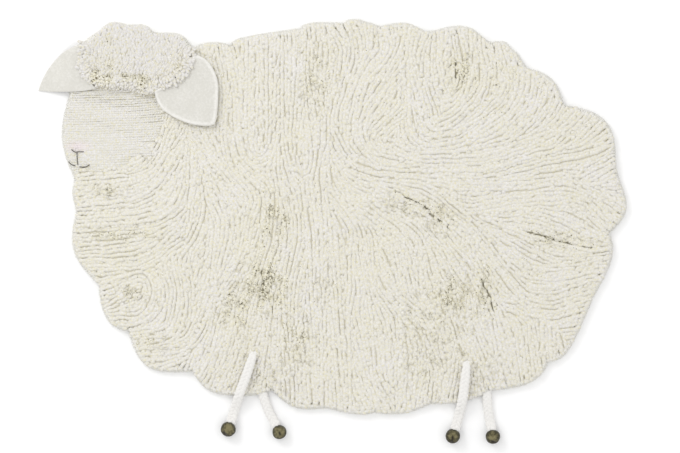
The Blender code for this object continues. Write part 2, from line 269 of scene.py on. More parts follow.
def paint(shader, colour, height, depth):
    """Connects a colour, and a bump that is so deep where the height is 1."""
    feed(colour, shader.inputs["Base Color"])
    feed(height.bumped(depth), shader.inputs["Normal"])


print("a signal can:", ", ".join(name for name in vars(Signal) if name[0] != "_"))

# %% [markdown]
# ## The outline
# The rim is a chain of scallops. A row of the table gives the dip where one starts and how far its
# crest stands out, and a sine arch between two dips draws it. Curves drawn by hand would do the same,
# but a table is easier to correct against a picture.

# %% Scallops round the rim
# Clockwise from the topknot's left dip: where the scallop starts, how far its crest stands out from
# the straight line to the next row, and how far along that line. All in millimetres.
SCALLOPS = (
    # dip x, dip y, crest, crest's place
    (-432, 317, 0, 0.50),  # topknot
    (-396, 343, 9, 0.45),
    (-347, 352, 7, 0.60),
    (-305, 340, 13, 0.62),
    (-239, 313, 7, 0.50),  # back
    (-175, 318, 7, 0.25),
    (-56, 346, 7, 0.30),
    (19, 355, 8, 0.33),
    (79, 350, 10, 0.55),
    (157, 341, 19, 0.60),
    (263, 324, 8, 0.65),
    (304, 311, 3, 0.30),
    (330, 279, 16, 0.50),  # rump
    (394, 216, 35, 0.50),
    (483, 112, 25, 0.60),
    (470, -5, 15, 0.36),
    (443, -114, 2, 0.50),
    (403, -201, 6, 0.50),
    (366, -223, 18, 0.38),
    (269, -272, 8, 0.45),  # belly
    (166, -295, 9, 0.50),
    (70, -309, 6, 0.38),
    (-8, -302, 15, 0.53),
    (-103, -272, 4, 0.50),
    (-170, -280, 13, 0.50),
    (-239, -240, 33, 0.53),  # chest
    (-348, -171, 19, 0.41),
    (-399, -92, 23, 0.52),
    (-437, 32, 5, 0.60),
    (-439, 87, 17, 0.50),  # muzzle
    (-449, 230, 2, 0.50),  # brow, under the far ear
    (-445, 265, 0, 0.50),
    (-432, 280, 0, 0.50),
)
RIM_STEP = 3.6 * MM
CURVE_STEPS = 20  # from one knot of a smooth line to the next, before its points are evened out


def scalloped_rim():
    """Points round the rim, clockwise, sharp at each dip."""
    points = []
    for (x, y, crest, place), (next_x, next_y, _, _) in zip(SCALLOPS, SCALLOPS[1:] + SCALLOPS[:1]):
        start = np.array([x, y]) * MM
        along = np.array([next_x - x, next_y - y]) * MM
        outward = np.array([-along[1], along[0]]) / np.linalg.norm(along)
        steps = max(2, round(np.linalg.norm(along) / RIM_STEP))
        skew = math.log(0.5) / math.log(place)
        for i in range(steps):
            t = i / steps
            points.append(start + along * t + outward * crest * MM * math.sin(math.pi * t**skew))
    return np.array(points)


def nearest_on_line(points, line, closed=False):
    """Distance of each point to a line of points, and on which side it lies: 1 is left."""
    starts = line if closed else line[:-1]
    ends = np.roll(line, -1, axis=0) if closed else line[1:]
    best = np.full(len(points), np.inf)
    side = np.ones(len(points))
    for start, end in zip(starts, ends):
        along = end - start
        offset = points - start
        t = np.clip(offset @ along / (along @ along), 0, 1)
        distance = np.hypot(offset[:, 0] - t * along[0], offset[:, 1] - t * along[1])
        cross = along[0] * offset[:, 1] - along[1] * offset[:, 0]
        closer = distance < best - 1e-9
        best = np.where(closer, distance, best)
        side = np.where(closer, np.where(cross >= 0, 1.0, -1.0), side)
    return best, side


def inside_line(points, line):
    """How far each point lies inside a closed line; outside it is negative."""
    distance, _ = nearest_on_line(points, line, closed=True)
    x, y = points.T
    crossings = np.zeros(len(points), bool)
    for (x0, y0), (x1, y1) in zip(line, np.roll(line, -1, axis=0)):
        if y0 != y1:
            spans = (y0 > y) != (y1 > y)
            crossings ^= spans & (x < x0 + (y - y0) * (x1 - x0) / (y1 - y0))
    return np.where(crossings, distance, -distance)


def smooth_line(knots, step):
    """Points at even steps on a Catmull-Rom curve through the knots, given in millimetres."""
    knots = np.array(knots, float) * MM
    padded = np.concatenate([[2 * knots[0] - knots[1]], knots, [2 * knots[-1] - knots[-2]]])
    dense = []
    for a, b, c, d in zip(padded, padded[1:], padded[2:], padded[3:]):
        for t in np.linspace(0, 1, CURVE_STEPS, endpoint=False):
            bend = 2 * a - 5 * b + 4 * c - d
            twist = 3 * b - a - 3 * c + d
            dense.append(0.5 * (2 * b + (c - a) * t + bend * t**2 + twist * t**3))
    dense = np.array(dense + [knots[-1]])
    lengths = np.concatenate([[0], np.cumsum(np.linalg.norm(np.diff(dense, axis=0), axis=1))])
    places = np.linspace(0, lengths[-1], max(2, round(lengths[-1] / step) + 1))
    return np.column_stack([np.interp(places, lengths, values) for values in dense.T])


def area_inside(line):
    after = np.roll(line, -1, axis=0)
    return abs(np.sum(line[:, 0] * after[:, 1] - line[:, 1] * after[:, 0])) / 2


def extent(line):
    return (line.max(axis=0) - line.min(axis=0)).tolist()


RIM = scalloped_rim()


def inside_rim(points):
    return inside_line(points, RIM)


print(f"rim of {len(RIM)} points round {area_inside(RIM):.3f} square metres")

# %% [markdown]
# ## A map of the pile
# Three things change over the rug: how tall the pile is, which way its rows run, and where it is
# ruffled or has a warmer tone. This cell holds the height, the next ones hold the others.

# %% Heights of the pile
FLEECE_PILE = 14 * MM
FACE_PILE = 10 * MM
TOPKNOT_PILE = 20 * MM
PILE_STEP = 9 * MM  # width over which one pile height turns into the next
RAGGED = 5 * MM  # how uneven the face's edge is
RIM_HEIGHT = 5 * MM
RIM_ROUND = 13 * MM
LUMP_HEIGHT = 0.7 * MM
LUMP_LENGTHS = (170 * MM, 110 * MM)

TOPKNOT_EDGE = (
    (-440, 285), (-430, 274), (-406, 247), (-376, 240), (-342, 238), (-320, 230),
    (-302, 240), (-278, 255), (-253, 269), (-240, 291), (-231, 330),
)  # fmt: skip
FACE_EDGE = ((-306, 262), (-289, 210), (-291, 164), (-311, 130), (-354, 109), (-396, 101), (-470, 96))
KNOT_LINE = np.array(TOPKNOT_EDGE, float) * MM
FACE_LINE = np.array(FACE_EDGE, float) * MM


def blend(value):
    t = np.clip(value / PILE_STEP + 0.5, 0, 1)
    return t * t * (3 - 2 * t)


def kinds_of_pile(points):
    """How much each point is topknot and how much it is face; the rest is fleece."""
    knot_distance, knot_side = nearest_on_line(points, KNOT_LINE)
    face_distance, face_side = nearest_on_line(points, FACE_LINE)
    knot = blend(knot_distance * knot_side)
    x, y = points.T / MM
    ragged = np.sin(x / 3.9 + y / 17) * np.sin(y / 4.7 + x / 13) + np.sin(x / 9 + 1) * np.sin(y / 7)
    return knot, blend(RAGGED * ragged - face_distance * face_side) * (1 - knot)


def pile_height(points):
    """Height of the pile over the floor, with its lumps."""
    knot, face = kinds_of_pile(points)
    level = (1 - knot - face) * FLEECE_PILE + face * FACE_PILE + knot * TOPKNOT_PILE
    for i, length in enumerate(LUMP_LENGTHS):
        x, y = points.T * 2 * math.pi / length
        level += (1 - face) * LUMP_HEIGHT * np.sin(x + i) * np.sin(y + 2 * i)
    inward = np.clip(inside_rim(points) / RIM_ROUND, 0, 1)
    return RIM_HEIGHT + (level - RIM_HEIGHT) * np.sqrt(1 - (1 - inward) ** 2)


# %% Ruffled and warm places
# Where the wool stands up or lies in curls, and where its tone is warmer, or whiter if below 0. The warmer
# it is, the more painted shade the material puts in as dark pinhole dots.
# Each row is an oval spot in millimetres.
SPOTS = (
    # x, y, reach x, reach y, ruffle, warmth
    (-350, 261, 44, 7, 0.5, 1.2),  # fold along the topknot's foot; its warm tone and dark dots are painted shade of the fold
    (-394, 264, 16, 16, 1.0, 0.9),  # both ends of the fold, with painted shade as well
    (-322, 247, 15, 10, 1.0, 0.9),
    (-379, 308, 8, 32, 0.1, 0.7),  # topknot
    (-266, 284, 12, 16, 0.3, 0.5),
    (-30, 261, 22, 36, 0.6, 0.6),  # back
    (220, 271, 20, 34, 0.5, 0.5),  # top eye
    (-376, 72, 34, 10, 0.9, 0.6),  # throat
    (-362, -6, 60, 10, 0.5, 0.6),
    (-345, -108, 26, 14, 0.7, 0.5),  # chest eye
    (-302, -185, 22, 18, 0.5, 0.5),
    (-115, -92, 30, 34, 1.0, 1.0),  # foreleg
    (-166, -126, 22, 36, 0.8, 0.8),
    (-98, 19, 20, 28, 0.5, 0.5),
    (-105, -30, 50, 110, 0.0, 0.4),
    (-56, -185, 22, 40, 0.7, 0.6),
    (-13, -97, 16, 26, 0.4, 0.4),
    (134, 43, 50, 14, 0.8, 0.7),  # haunch arch
    (185, 20, 26, 18, 0.6, 0.6),
    (259, -100, 16, 46, 0.6, 0.6),
    (203, -108, 28, 34, 1.0, 0.9),  # haunch
    (131, -177, 24, 60, 0.4, 0.2),
    (185, -200, 34, 50, 0.4, 0.3),
    (387, -15, 60, 9, 0.4, 0.7),  # rump eye
    (290, 265, 80, 34, 0.0, 0.4),
    (-350, -40, 60, 60, 0.0, 0.3),
    (-120, -245, 40, 30, 0.6, 0.0),  # between the forelegs
    (250, -245, 34, 30, 0.6, 0.0),  # between the hind legs
    (-107, 189, 46, 66, 0.0, -0.5),  # shoulder
    (97, 172, 30, 56, 0.0, -0.6),  # middle eye
    (285, 104, 80, 30, 0.0, -0.5),  # flank
    (58, -105, 50, 130, 0.0, -0.7),  # belly stream
    (-231, -52, 40, 40, 0.0, -0.5),
    (-277, -168, 30, 30, 0.0, -0.4),
    (387, -114, 56, 40, 0.0, -0.4),  # low rump
)
# Lines along which the wool parts and shows its depth, darkened there with painted shade, in millimetres
PARTINGS = (
    ((106, 69), (140, 51), (159, 38), (187, 16), (196, 4)),  # haunch arch
    ((333, -1), (357, -10), (404, -23), (437, -29)),  # rump
    ((252, -82), (267, -112), (273, -134)),  # haunch
    ((-122, -66), (-116, -104), (-102, -132)),  # foreleg
    ((208, 290), (209, 262)),  # top eye
)
PARTING_OPEN = 3.1 * MM  # how far the tufts stand back from the line
PARTING_WAVE, PARTING_UNEVEN = 6.0 * MM, 0.25  # along the line that is more and less by turns
PARTING_SHADE_REACH = 5.0 * MM  # how far its painted shade reaches, as warm tone and dark pinhole dots
PARTING_DEPTH, PARTING_SHADE_PAINT = 3.0 * MM, 0.45  # of the backing under it: how far it sinks, and how dark it is painted there, as shade


def away_from(stroke, points):
    """The distance of each point to a line given in millimetres."""
    return nearest_on_line(points, np.array(stroke) * MM)[0]


def near_partings(points, reach):
    """1 on a parting, and towards 0 past the reach."""
    return hump(np.min([away_from(stroke, points) for stroke in PARTINGS], axis=0), 0, reach)


def spots_at(points):
    """The ruffle and the warmth of each point; a wavy pattern breaks the spots up. Along the partings the
    warmth rises, which paints their shade.
    """
    ruffle, warmth = np.zeros(len(points)), np.zeros(len(points))
    for x, y, reach_x, reach_y, ruffled, warm in SPOTS:
        offset = (points / MM - (x, y)) / (reach_x, reach_y)
        share = np.exp(-np.sum(offset**2, axis=1))
        ruffle += share * ruffled
        warmth += share * warm
    x, y = points.T / MM
    broken = 0.75 + 0.6 * np.sin(x / 6.5 + y / 19) * np.sin(y / 8.5 - x / 15)
    ruffle, warmth = np.clip(ruffle * broken, 0, 1), np.clip(warmth * broken, -1, 1)
    return ruffle, np.maximum(warmth, broken * near_partings(points, PARTING_SHADE_REACH))


print(len(SPOTS), "spots")

# %% [markdown]
# ## Which way the rows run
# The rows of a fleece flow like combed hair. A few dozen strokes of the comb fix the flow, and in
# between each point takes the mean direction of the strokes near it. A row has no arrow: up and down
# are the same. So we average the doubled angle, which is the same for both, and halve it afterwards.
# A complex number holds such a direction well: its phase is the angle, and it can be averaged.

# %% Strokes of the comb
# Each row is one stroke along the rows, in millimetres.
STREAMS = (
    # under the face
    ((-440, 88), (-330, 98), (-300, 122), (-268, 195)),
    ((-445, 50), (-345, 60), (-305, 82), (-255, 150)),
    ((-450, 5), (-330, 12), (-290, 22), (-255, 50), (-240, 140)),
    ((-430, -62), (-330, -60), (-275, -25), (-245, 5), (-226, 90)),
    # chest
    ((-398, -100), (-360, -84), (-325, -74), (-308, -100), (-325, -140), (-375, -142)),
    ((-372, -125), (-335, -103)),
    ((-270, -58), (-258, -110), (-275, -175), (-335, -188)),
    ((-345, -207), (-260, -200), (-225, -170), (-208, -120)),
    # shoulder
    ((-238, 150), (-205, 112), (-170, 75), (-150, 40), (-150, 0)),
    ((-222, 100), (-200, 50), (-186, 10), (-195, -45), (-205, -88)),
    ((-185, 320), (-170, 250), (-170, 160), (-160, 112), (-130, 86)),
    ((-152, 310), (-150, 170), (-140, 130), (-120, 122), (-104, 145), (-98, 200), (-98, 320)),
    ((-125, 330), (-125, 165)),
    # foreleg
    ((-130, 40), (-140, 5), (-152, -38), (-190, -102)),
    ((-98, 40), (-100, -10), (-112, -50), (-128, -90)),
    ((-240, -240), (-218, -192), (-203, -150)),
    ((-193, -255), (-166, -200), (-162, -145)),
    ((-172, -262), (-142, -195), (-130, -135)),
    # down the middle
    ((-85, 330), (-85, 140), (-65, 40), (-60, -20), (-78, -110), (-75, -260)),
    ((-60, 260), (-68, 140), (-52, 98), (-35, 125), (-38, 250)),
    ((-44, 335), (-42, 260), (-15, 185), (-22, 100), (-15, 0), (-12, -150), (-8, -290)),
    ((10, 348), (28, 310), (18, 250), (0, 185), (20, 128), (60, 105), (130, 98)),
    ((0, 60), (22, 28), (40, 0), (42, -50), (50, -100), (45, -140), (65, -245), (85, -285)),
    # back, with two eyes
    ((90, 335), (93, 305), (52, 250), (38, 190), (44, 150), (85, 112)),
    ((125, 300), (82, 235), (50, 180), (65, 130), (110, 115)),
    ((122, 203), (75, 168), (68, 152), (85, 138)),
    ((132, 325), (128, 250), (134, 165), (170, 143), (250, 158)),
    ((145, 335), (133, 295), (158, 215), (175, 175), (225, 205), (256, 255), (250, 310)),
    ((185, 310), (182, 275), (198, 225), (218, 250), (222, 290), (215, 330)),
    ((300, 300), (313, 250), (290, 205), (225, 160)),
    # rim of the rump
    ((365, 262), (350, 205), (315, 170)),
    ((385, 150), (410, 172), (440, 205)),
    ((425, 82), (450, 98), (485, 118)),
    # flank
    ((140, 125), (260, 130), (350, 160)),
    ((205, 95), (260, 97), (350, 122), (418, 135)),
    ((240, 78), (330, 78), (395, 86), (455, 60)),
    ((230, 38), (300, 52), (360, 60), (420, 56), (470, 10)),
    # rump, with its eye
    ((285, 25), (330, 24), (378, 10), (440, -20)),
    ((330, -2), (437, -29)),
    ((240, 18), (315, -17), (385, -50), (465, -38)),
    ((225, 35), (283, -37), (348, -75), (462, -62)),
    ((283, -50), (348, -102), (450, -78)),
    ((293, -118), (372, -132), (440, -108)),
    # haunch
    ((48, 80), (100, 57), (170, 28), (198, -5)),
    ((52, 42), (102, 8), (133, -22), (145, -90)),
    ((178, 50), (245, -3), (293, -68), (330, -130)),
    ((252, -80), (275, -140), (293, -204), (302, -245)),
    ((205, -60), (235, -110), (246, -160), (275, -240)),
    ((103, -118), (153, -162), (175, -220)),
    ((72, -98), (100, -150), (105, -235)),
    ((140, -172), (144, -212), (135, -290)),
    # hind leg
    ((345, -165), (350, -230)),
    ((210, -240), (200, -290)),
)
STREAM_STEP = 5 * MM
STREAM_REACH = 6 * MM  # nearer than this to a stroke, its direction rules
NET_STEP = 4 * MM
WOBBLE = ((0.10, 0.15, 0.4), (0.07, 0.31, 1.7))  # radians, radians per mm, phase
CORNERS = RIM.min(axis=0), RIM.max(axis=0)
RIM_ZONE = 7.0 * MM  # nearer to the rim than this, only the rim's own tufts stand


def stream_samples():
    """Points along every stroke, and the doubled direction at each."""
    places, doubled = [], []
    for row in STREAMS:
        line = smooth_line(row, STREAM_STEP)
        along = np.gradient(line, axis=0) @ (1, 1j)
        places.append(line)
        doubled.append((along / np.abs(along)) ** 2)
    return np.concatenate(places), np.concatenate(doubled)


def nets():
    """At every knot of a square net: the doubled direction, and how far inside the fleece it is."""
    places, doubled = stream_samples()
    low, high = CORNERS
    columns, lines = (np.arange(low[k], high[k] + 2 * NET_STEP, NET_STEP) for k in (0, 1))
    directions, rooms = [], []
    for x in columns:
        away = (x - places[:, 0]) ** 2 + (lines[:, None] - places[:, 1]) ** 2
        directions.append(((away + STREAM_REACH**2) ** -2.0) @ doubled)
        knots = np.column_stack([np.full(len(lines), x), lines])
        knot, face = kinds_of_pile(knots)
        rooms.append(np.minimum(inside_rim(knots) - RIM_ZONE, (0.5 - knot - face) * PILE_STEP))
    directions = np.array(directions)
    return (directions / np.abs(directions)).tolist(), np.array(rooms).tolist()


DIRECTIONS, ROOMS = nets()
NET_ORIGIN = complex(*CORNERS[0])


def on_net(net, place):
    """The value between the four knots round a place, which is a complex number."""
    across, up = (place - NET_ORIGIN).real / NET_STEP, (place - NET_ORIGIN).imag / NET_STEP
    i, j = (min(max(int(at), 0), size - 2) for at, size in ((across, len(net)), (up, len(net[0]))))
    s, t = across - i, up - j
    before = (1 - t) * net[i][j] + t * net[i][j + 1]
    after = (1 - t) * net[i + 1][j] + t * net[i + 1][j + 1]
    return (1 - s) * before + s * after


def combed_at(place):
    """The direction of the rows at a place, as a complex number 1 long."""
    x, y = place.real / MM, place.imag / MM
    wobble = sum(reach * math.sin(x * turn + phase + math.sin(y * turn)) for reach, turn, phase in WOBBLE)
    return cmath.rect(1, cmath.phase(on_net(DIRECTIONS, place)) / 2 + wobble)


print(len(STREAMS), "strokes on a net of", len(DIRECTIONS), "by", len(DIRECTIONS[0]))

# %% [markdown]
# ## Where the tufts stand
# We walk from tuft to tuft in the combed direction until another row or the rim is too near. Beside
# each step, one row's width away, a new row may start. So rows stay at even distances, and one ends
# or begins wherever the flow narrows or widens, just as on the real rug. Bare spots are filled last.

# %% Walking the rows
FLEECE_ROWS, FLEECE_SPACING = 7.0 * MM, 3.7 * MM
ROW_START, ROW_STOP = 0.97, 0.72  # how near other rows may be where a row starts and before it stops
OWN_STEPS = 5  # steps of a row that don't count as another one
SHARPEST = 0.5  # cosine of the sharpest turn
FIRST_START = complex(-85, 140) * MM


def room_for(place, closest, row, index, cells):
    """Whether a place lies in the fleece and no other row is nearer than the limit."""
    if on_net(ROOMS, place) <= 0:
        return False
    for other, its_row, its_index in near_cells(cells, (place.real, place.imag), FLEECE_ROWS):
        if abs(place - other) < closest and (its_row != row or abs(its_index - index) > OWN_STEPS):
            return False
    return True


def walk_row(start, row, cells):
    """Places and headings along one row, both ways from its start."""
    found = []
    for way in (1, -1):
        heading = combed_at(start) * way
        place, index = start, 0
        while True:
            if index or way == 1:
                cell = int(place.real // FLEECE_ROWS), int(place.imag // FLEECE_ROWS)
                cells.setdefault(cell, []).append((place, row, index))
                found.append((place, heading * way))
            ahead = combed_at(place + heading * FLEECE_SPACING / 2)
            bend = (ahead * heading.conjugate()).real
            if abs(bend) < SHARPEST:
                break
            heading = ahead if bend > 0 else -ahead
            place, index = place + heading * FLEECE_SPACING, index + way
            if not room_for(place, FLEECE_ROWS * ROW_STOP, row, index, cells):
                break
    return found


def comb_rows():
    """Every tuft's place and heading and the number of its row."""
    cells, spots, headings, numbers = {}, [], [], []
    starts = deque([FIRST_START])
    row = 0
    while starts:
        start = starts.popleft()
        if not room_for(start, FLEECE_ROWS * ROW_START, -1, 0, cells):
            continue
        for place, heading in walk_row(start, row, cells):
            spots.append((place.real, place.imag))
            headings.append(heading)
            numbers.append(row)
            starts.append(place + heading * 1j * FLEECE_ROWS)
            starts.append(place - heading * 1j * FLEECE_ROWS)
        row += 1
    return np.array(spots), np.array(headings), np.array(numbers)


row_spots, row_headings, row_numbers = comb_rows()
print(len(row_spots), "tufts in", row_numbers[-1] + 1, "rows")

# %% Filling the gaps
NONE, FLEECE, FACE, TOPKNOT = range(4)
CLOSED_OVER = 0.62  # how rare the patches are where the rows have grown together
FILL_SPACING, FILL_LOOSE = 2.6 * MM, 0.4
FLEECE_FILL, CLOSED_FILL = 3.9 * MM, 3.3 * MM  # how near fill tufts stand to the others
KNOT_CLOSEST = 3.1 * MM
RUFFLED_OVER = 0.4


def thin_out(groups):
    """The points of each group in turn, without those closer than its limit to one kept before."""
    kept = []
    cells = {}
    widest = max(closest for _, closest in groups)
    for group, closest in groups:
        for point in group.tolist():
            x, y = point
            near = near_cells(cells, point, widest)
            if all(math.hypot(x - other[0], y - other[1]) >= closest for other in near):
                cells.setdefault((int(x // widest), int(y // widest)), []).append(point)
                kept.append(point)
    return np.array(kept)


def scattered(spacing, low, high):
    """A loose square net of points between two corners."""
    net = square_net(low, high, spacing)
    return net + dice.uniform(-FILL_LOOSE, FILL_LOOSE, net.shape) * spacing


def kind_at(points):
    """The kind of pile at each point, or none where only the rim's own tufts stand."""
    knot, face = kinds_of_pile(points)
    kinds = np.where(knot > 0.5, TOPKNOT, np.where(face > 0.5, FACE, FLEECE))
    return np.where(inside_rim(points) > RIM_ZONE, kinds, NONE)


def rows_close(points):
    """True in the small patches where the wool of two rows has grown together."""
    x, y = points.T / MM
    clouds = np.sin(x / 7.3 + 2.1 * np.sin(y / 11.7)) * np.sin(y / 8.9 + 1.8 * np.sin(x / 13.1))
    return clouds > CLOSED_OVER


fill = scattered(FILL_SPACING, *CORNERS)
kinds = kind_at(fill)
knot_spots = thin_out([(fill[kinds == TOPKNOT], KNOT_CLOSEST)])
fill = fill[kinds == FLEECE]
closing = fill[rows_close(fill) | (spots_at(fill)[0] > RUFFLED_OVER)]
filled = thin_out([(row_spots, 0), (closing, CLOSED_FILL), (fill, FLEECE_FILL)])[len(row_spots) :]
fleece_spots = np.concatenate([row_spots, filled])
fleece_headings = np.concatenate([row_headings, [combed_at(complex(*spot)) for spot in filled]])
fleece_rows = np.concatenate([row_numbers, row_numbers[-1] + 1 + np.arange(len(filled))])
print("fill and topknot:", len(filled), len(knot_spots))

# %% [markdown]
# The face's rows run straight across, a little uphill, and sway a little.

# %% Rows of the face
FACE_ROWS, FACE_SPACING = 4.1 * MM, 3.2 * MM
FACE_LOW, FACE_END, FACE_COUNT = 90 * MM, -220 * MM, 50
FACE_UPHILL = 0.04
FACE_SWAYS = ((1.3 * MM, 41 * MM, 30), (0.5 * MM, 17 * MM, 6))  # how far, along what, over what rows

across, face_rows = np.meshgrid(np.arange(CORNERS[0][0], FACE_END, FACE_SPACING), np.arange(FACE_COUNT))
across, face_rows = across.ravel(), face_rows.ravel()
sway = FACE_UPHILL * across
for reach, length, rows in FACE_SWAYS:
    sway += reach * np.sin(across / length + face_rows / rows)
face_spots = np.column_stack([across, FACE_LOW + face_rows * FACE_ROWS + sway])
here = kind_at(face_spots) == FACE
face_spots, face_rows = face_spots[here], face_rows[here]
print(len(face_spots), "tufts in the face")

# %% [markdown]
# ## One tuft, planted many times
# A tuft is a small egg of wool. It has only thirty faces, because there are thousands of it:
# from a step away it is the size of a grain of rice, and the material's fibres do the rest. The
# eggs are stretched along their row, so that neighbours melt into one ridge.
#
# Instances would be lighter, but a mesh of all tufts can be baked and used anywhere. We copy the
# shape with arrays: one line of maths moves all its points in all its places at once.

# %% Tuft and curl
TUFT_SIDES, TUFT_RINGS = 5, 4
TUFT_NARROW, TUFT_FULL = 0.8, 1.3  # near its root and near its tip
CURL_SIDES, CURL_STEPS = 5, 6
STRAND_THICK, CURL_ROUND, CURL_HIGH, CURL_RISE = 0.17, 0.33, 0.2, 0.06
CURL_TURN = math.radians(240)


def shape_arrays(bm):
    """The points and triangles of a shape, as arrays."""
    bmesh.ops.triangulate(bm, faces=bm.faces)
    bmesh.ops.recalc_face_normals(bm, faces=bm.faces)
    bm.verts.ensure_lookup_table()
    points = np.array([vert.co[:] for vert in bm.verts])
    triangles = np.array([[vert.index for vert in face.verts] for face in bm.faces])
    open_edges = sum(edge.is_boundary for edge in bm.edges)
    print(f"shape of {len(triangles)} triangles, {open_edges} open edges")
    bm.free()
    return points, triangles


def tuft_shape():
    """An egg 1 high and 1 wide that stands at the origin, narrow at its root."""
    bm = bmesh.new()
    bmesh.ops.create_uvsphere(bm, u_segments=TUFT_SIDES, v_segments=TUFT_RINGS, radius=0.5)
    bmesh.ops.translate(bm, verts=bm.verts, vec=(0, 0, 0.5))
    low = [vert for vert in bm.verts if vert.co.z < 0.4]
    high = [vert for vert in bm.verts if 0.6 < vert.co.z < 0.95]
    bmesh.ops.scale(bm, verts=low, vec=(TUFT_NARROW, TUFT_NARROW, 1))
    bmesh.ops.scale(bm, verts=high, vec=(TUFT_FULL, TUFT_FULL, 1))
    return shape_arrays(bm)


def curl_shape():
    """A strand bent to an open ring, about 1 across, that lies at the origin."""
    bm = bmesh.new()
    bmesh.ops.create_circle(bm, cap_ends=True, segments=CURL_SIDES, radius=STRAND_THICK)
    stand = Vector((0, 0, 1)).rotation_difference(Vector((0, 1, 0))).to_matrix()
    bmesh.ops.rotate(bm, verts=bm.verts, matrix=stand)
    bmesh.ops.translate(bm, verts=bm.verts, vec=(CURL_ROUND, 0, CURL_HIGH))
    bmesh.ops.spin(
        bm, geom=bm.faces[:], cent=(0, 0, 0), axis=(0, 0, 1), dvec=(0, 0, CURL_RISE),
        angle=CURL_TURN, steps=CURL_STEPS,
    )  # fmt: skip
    return shape_arrays(bm)


TUFT, CURL = tuft_shape(), curl_shape()

# %% Planting
UNEVEN = 0.16 * MM
LEAN_BEND = 1.4  # a tuft that leans bends most at its tip
# What is left to chance: how far tips lean astray, turns, tops, tones, and sizes from and to
Chance = namedtuple("Chance", "tip turn top tone sizes")


def plant(name, shape, roots, sizes, turns, leans, warmths, finish):
    """One mesh with the shape at every root, sized, turned and with its tip leaned over."""
    points, triangles = shape
    local = points[None] * sizes[:, None, :] + dice.normal(0, UNEVEN, (len(roots), *points.shape))
    rise = points[None, :, 2] ** LEAN_BEND
    cosine, sine = np.cos(turns)[:, None], np.sin(turns)[:, None]
    placed = np.empty_like(local)
    placed[..., 0] = local[..., 0] * cosine - local[..., 1] * sine + leans[:, None, 0] * rise
    placed[..., 1] = local[..., 0] * sine + local[..., 1] * cosine + leans[:, None, 1] * rise
    placed[..., 2] = local[..., 2]
    placed += roots[:, None, :]
    placed[..., 2] = np.maximum(placed[..., 2], 0)
    firsts = np.arange(len(roots))[:, None, None] * len(points)
    faces = (triangles[None] + firsts).reshape(-1, 3)
    mesh = bpy.data.meshes.new(name)
    mesh.from_pydata(placed.reshape(-1, 3).tolist(), [], faces.tolist())
    mesh.shade_smooth()
    mesh.materials.append(finish)
    point_values(mesh, "tip", np.tile(points[:, 2], len(roots)))
    point_values(mesh, "warm", np.repeat(warmths, len(points)))
    print(f"{name}: {len(roots)} tufts, {len(mesh.polygons)} triangles")
    return add_object(name, mesh)


# %% [markdown]
# ## Wool
# Washed wool is never one colour: tips are bleached almost white, the depth between the rows is
# warm beige, and slow clouds of tone drift over the fleece. The root colour also stands for painted
# shade, so the grooves between the rows read darker. Each tuft carries two numbers, how near its tip
# a point is and how warm the spot is, and the material mixes its colours from them. Where curls leave
# pinholes too small to model, the peaks of a fine noise paint their shade as dark dots, and its
# lowest values paint bright specks as highlights.

# %% The wool's finish
FLEECE_TIP = (0.74, 0.72, 0.682, 1)
# The roots' warmer tone, which also stands for painted shade in the grooves between rows
FLEECE_ROOT_AND_GROOVE_SHADE = (0.67, 0.635, 0.51, 1)
FLEECE_WARM = (0.742, 0.70, 0.50, 1)
FLEECE_COOL = (0.762, 0.742, 0.735, 1)
KNOT_TIP = (0.705, 0.69, 0.70, 1)
FACE_TIP = (0.692, 0.68, 0.665, 1)
FIBRES, FINE_FIBRES, CLOUDS = 620, 1500, 16  # to the metre
# How many dark dots of painted pinhole shade and bright specks of painted highlight there are to the
# metre, how high the noise is there, and how much sooner that is where the wool is warm
PINHOLES, PINHOLE_OVER, PINHOLE_SOONER = 340, 0.77, 0.22
BRIGHT_UNDER, BRIGHT_SOONER = 0.20, 0.19
PINHOLE_SHARP, BRIGHT_SHARP = 16, 10
# The colour of the painted shade in pinholes, and a bright tone for random mottles and painted highlights
PINHOLE_SHADE, BRIGHT = (0.17, 0.145, 0.085, 1), (0.86, 0.84, 0.78, 1)
TIP_CLEAN, ROOT_FADES = 1.15, 1.6  # a root's colour ends under the tip, and fades so fast
WARM_SHARE, CLOUD_SHARE, FIBRE_SHARE, LEAST_SHARE = 0.45, 0.5, 0.3, 0.28  # of the warm tone
COOL_UNDER, COOL_SHARE, WARM_CANCELS = 0.45, 3, -1.2  # of the cool tone, where clouds are thin
GRAINS, DULL_GRAINS, BRIGHT_GRAINS = 300, 4.0, 2.4  # mottles everywhere: how many, how strong


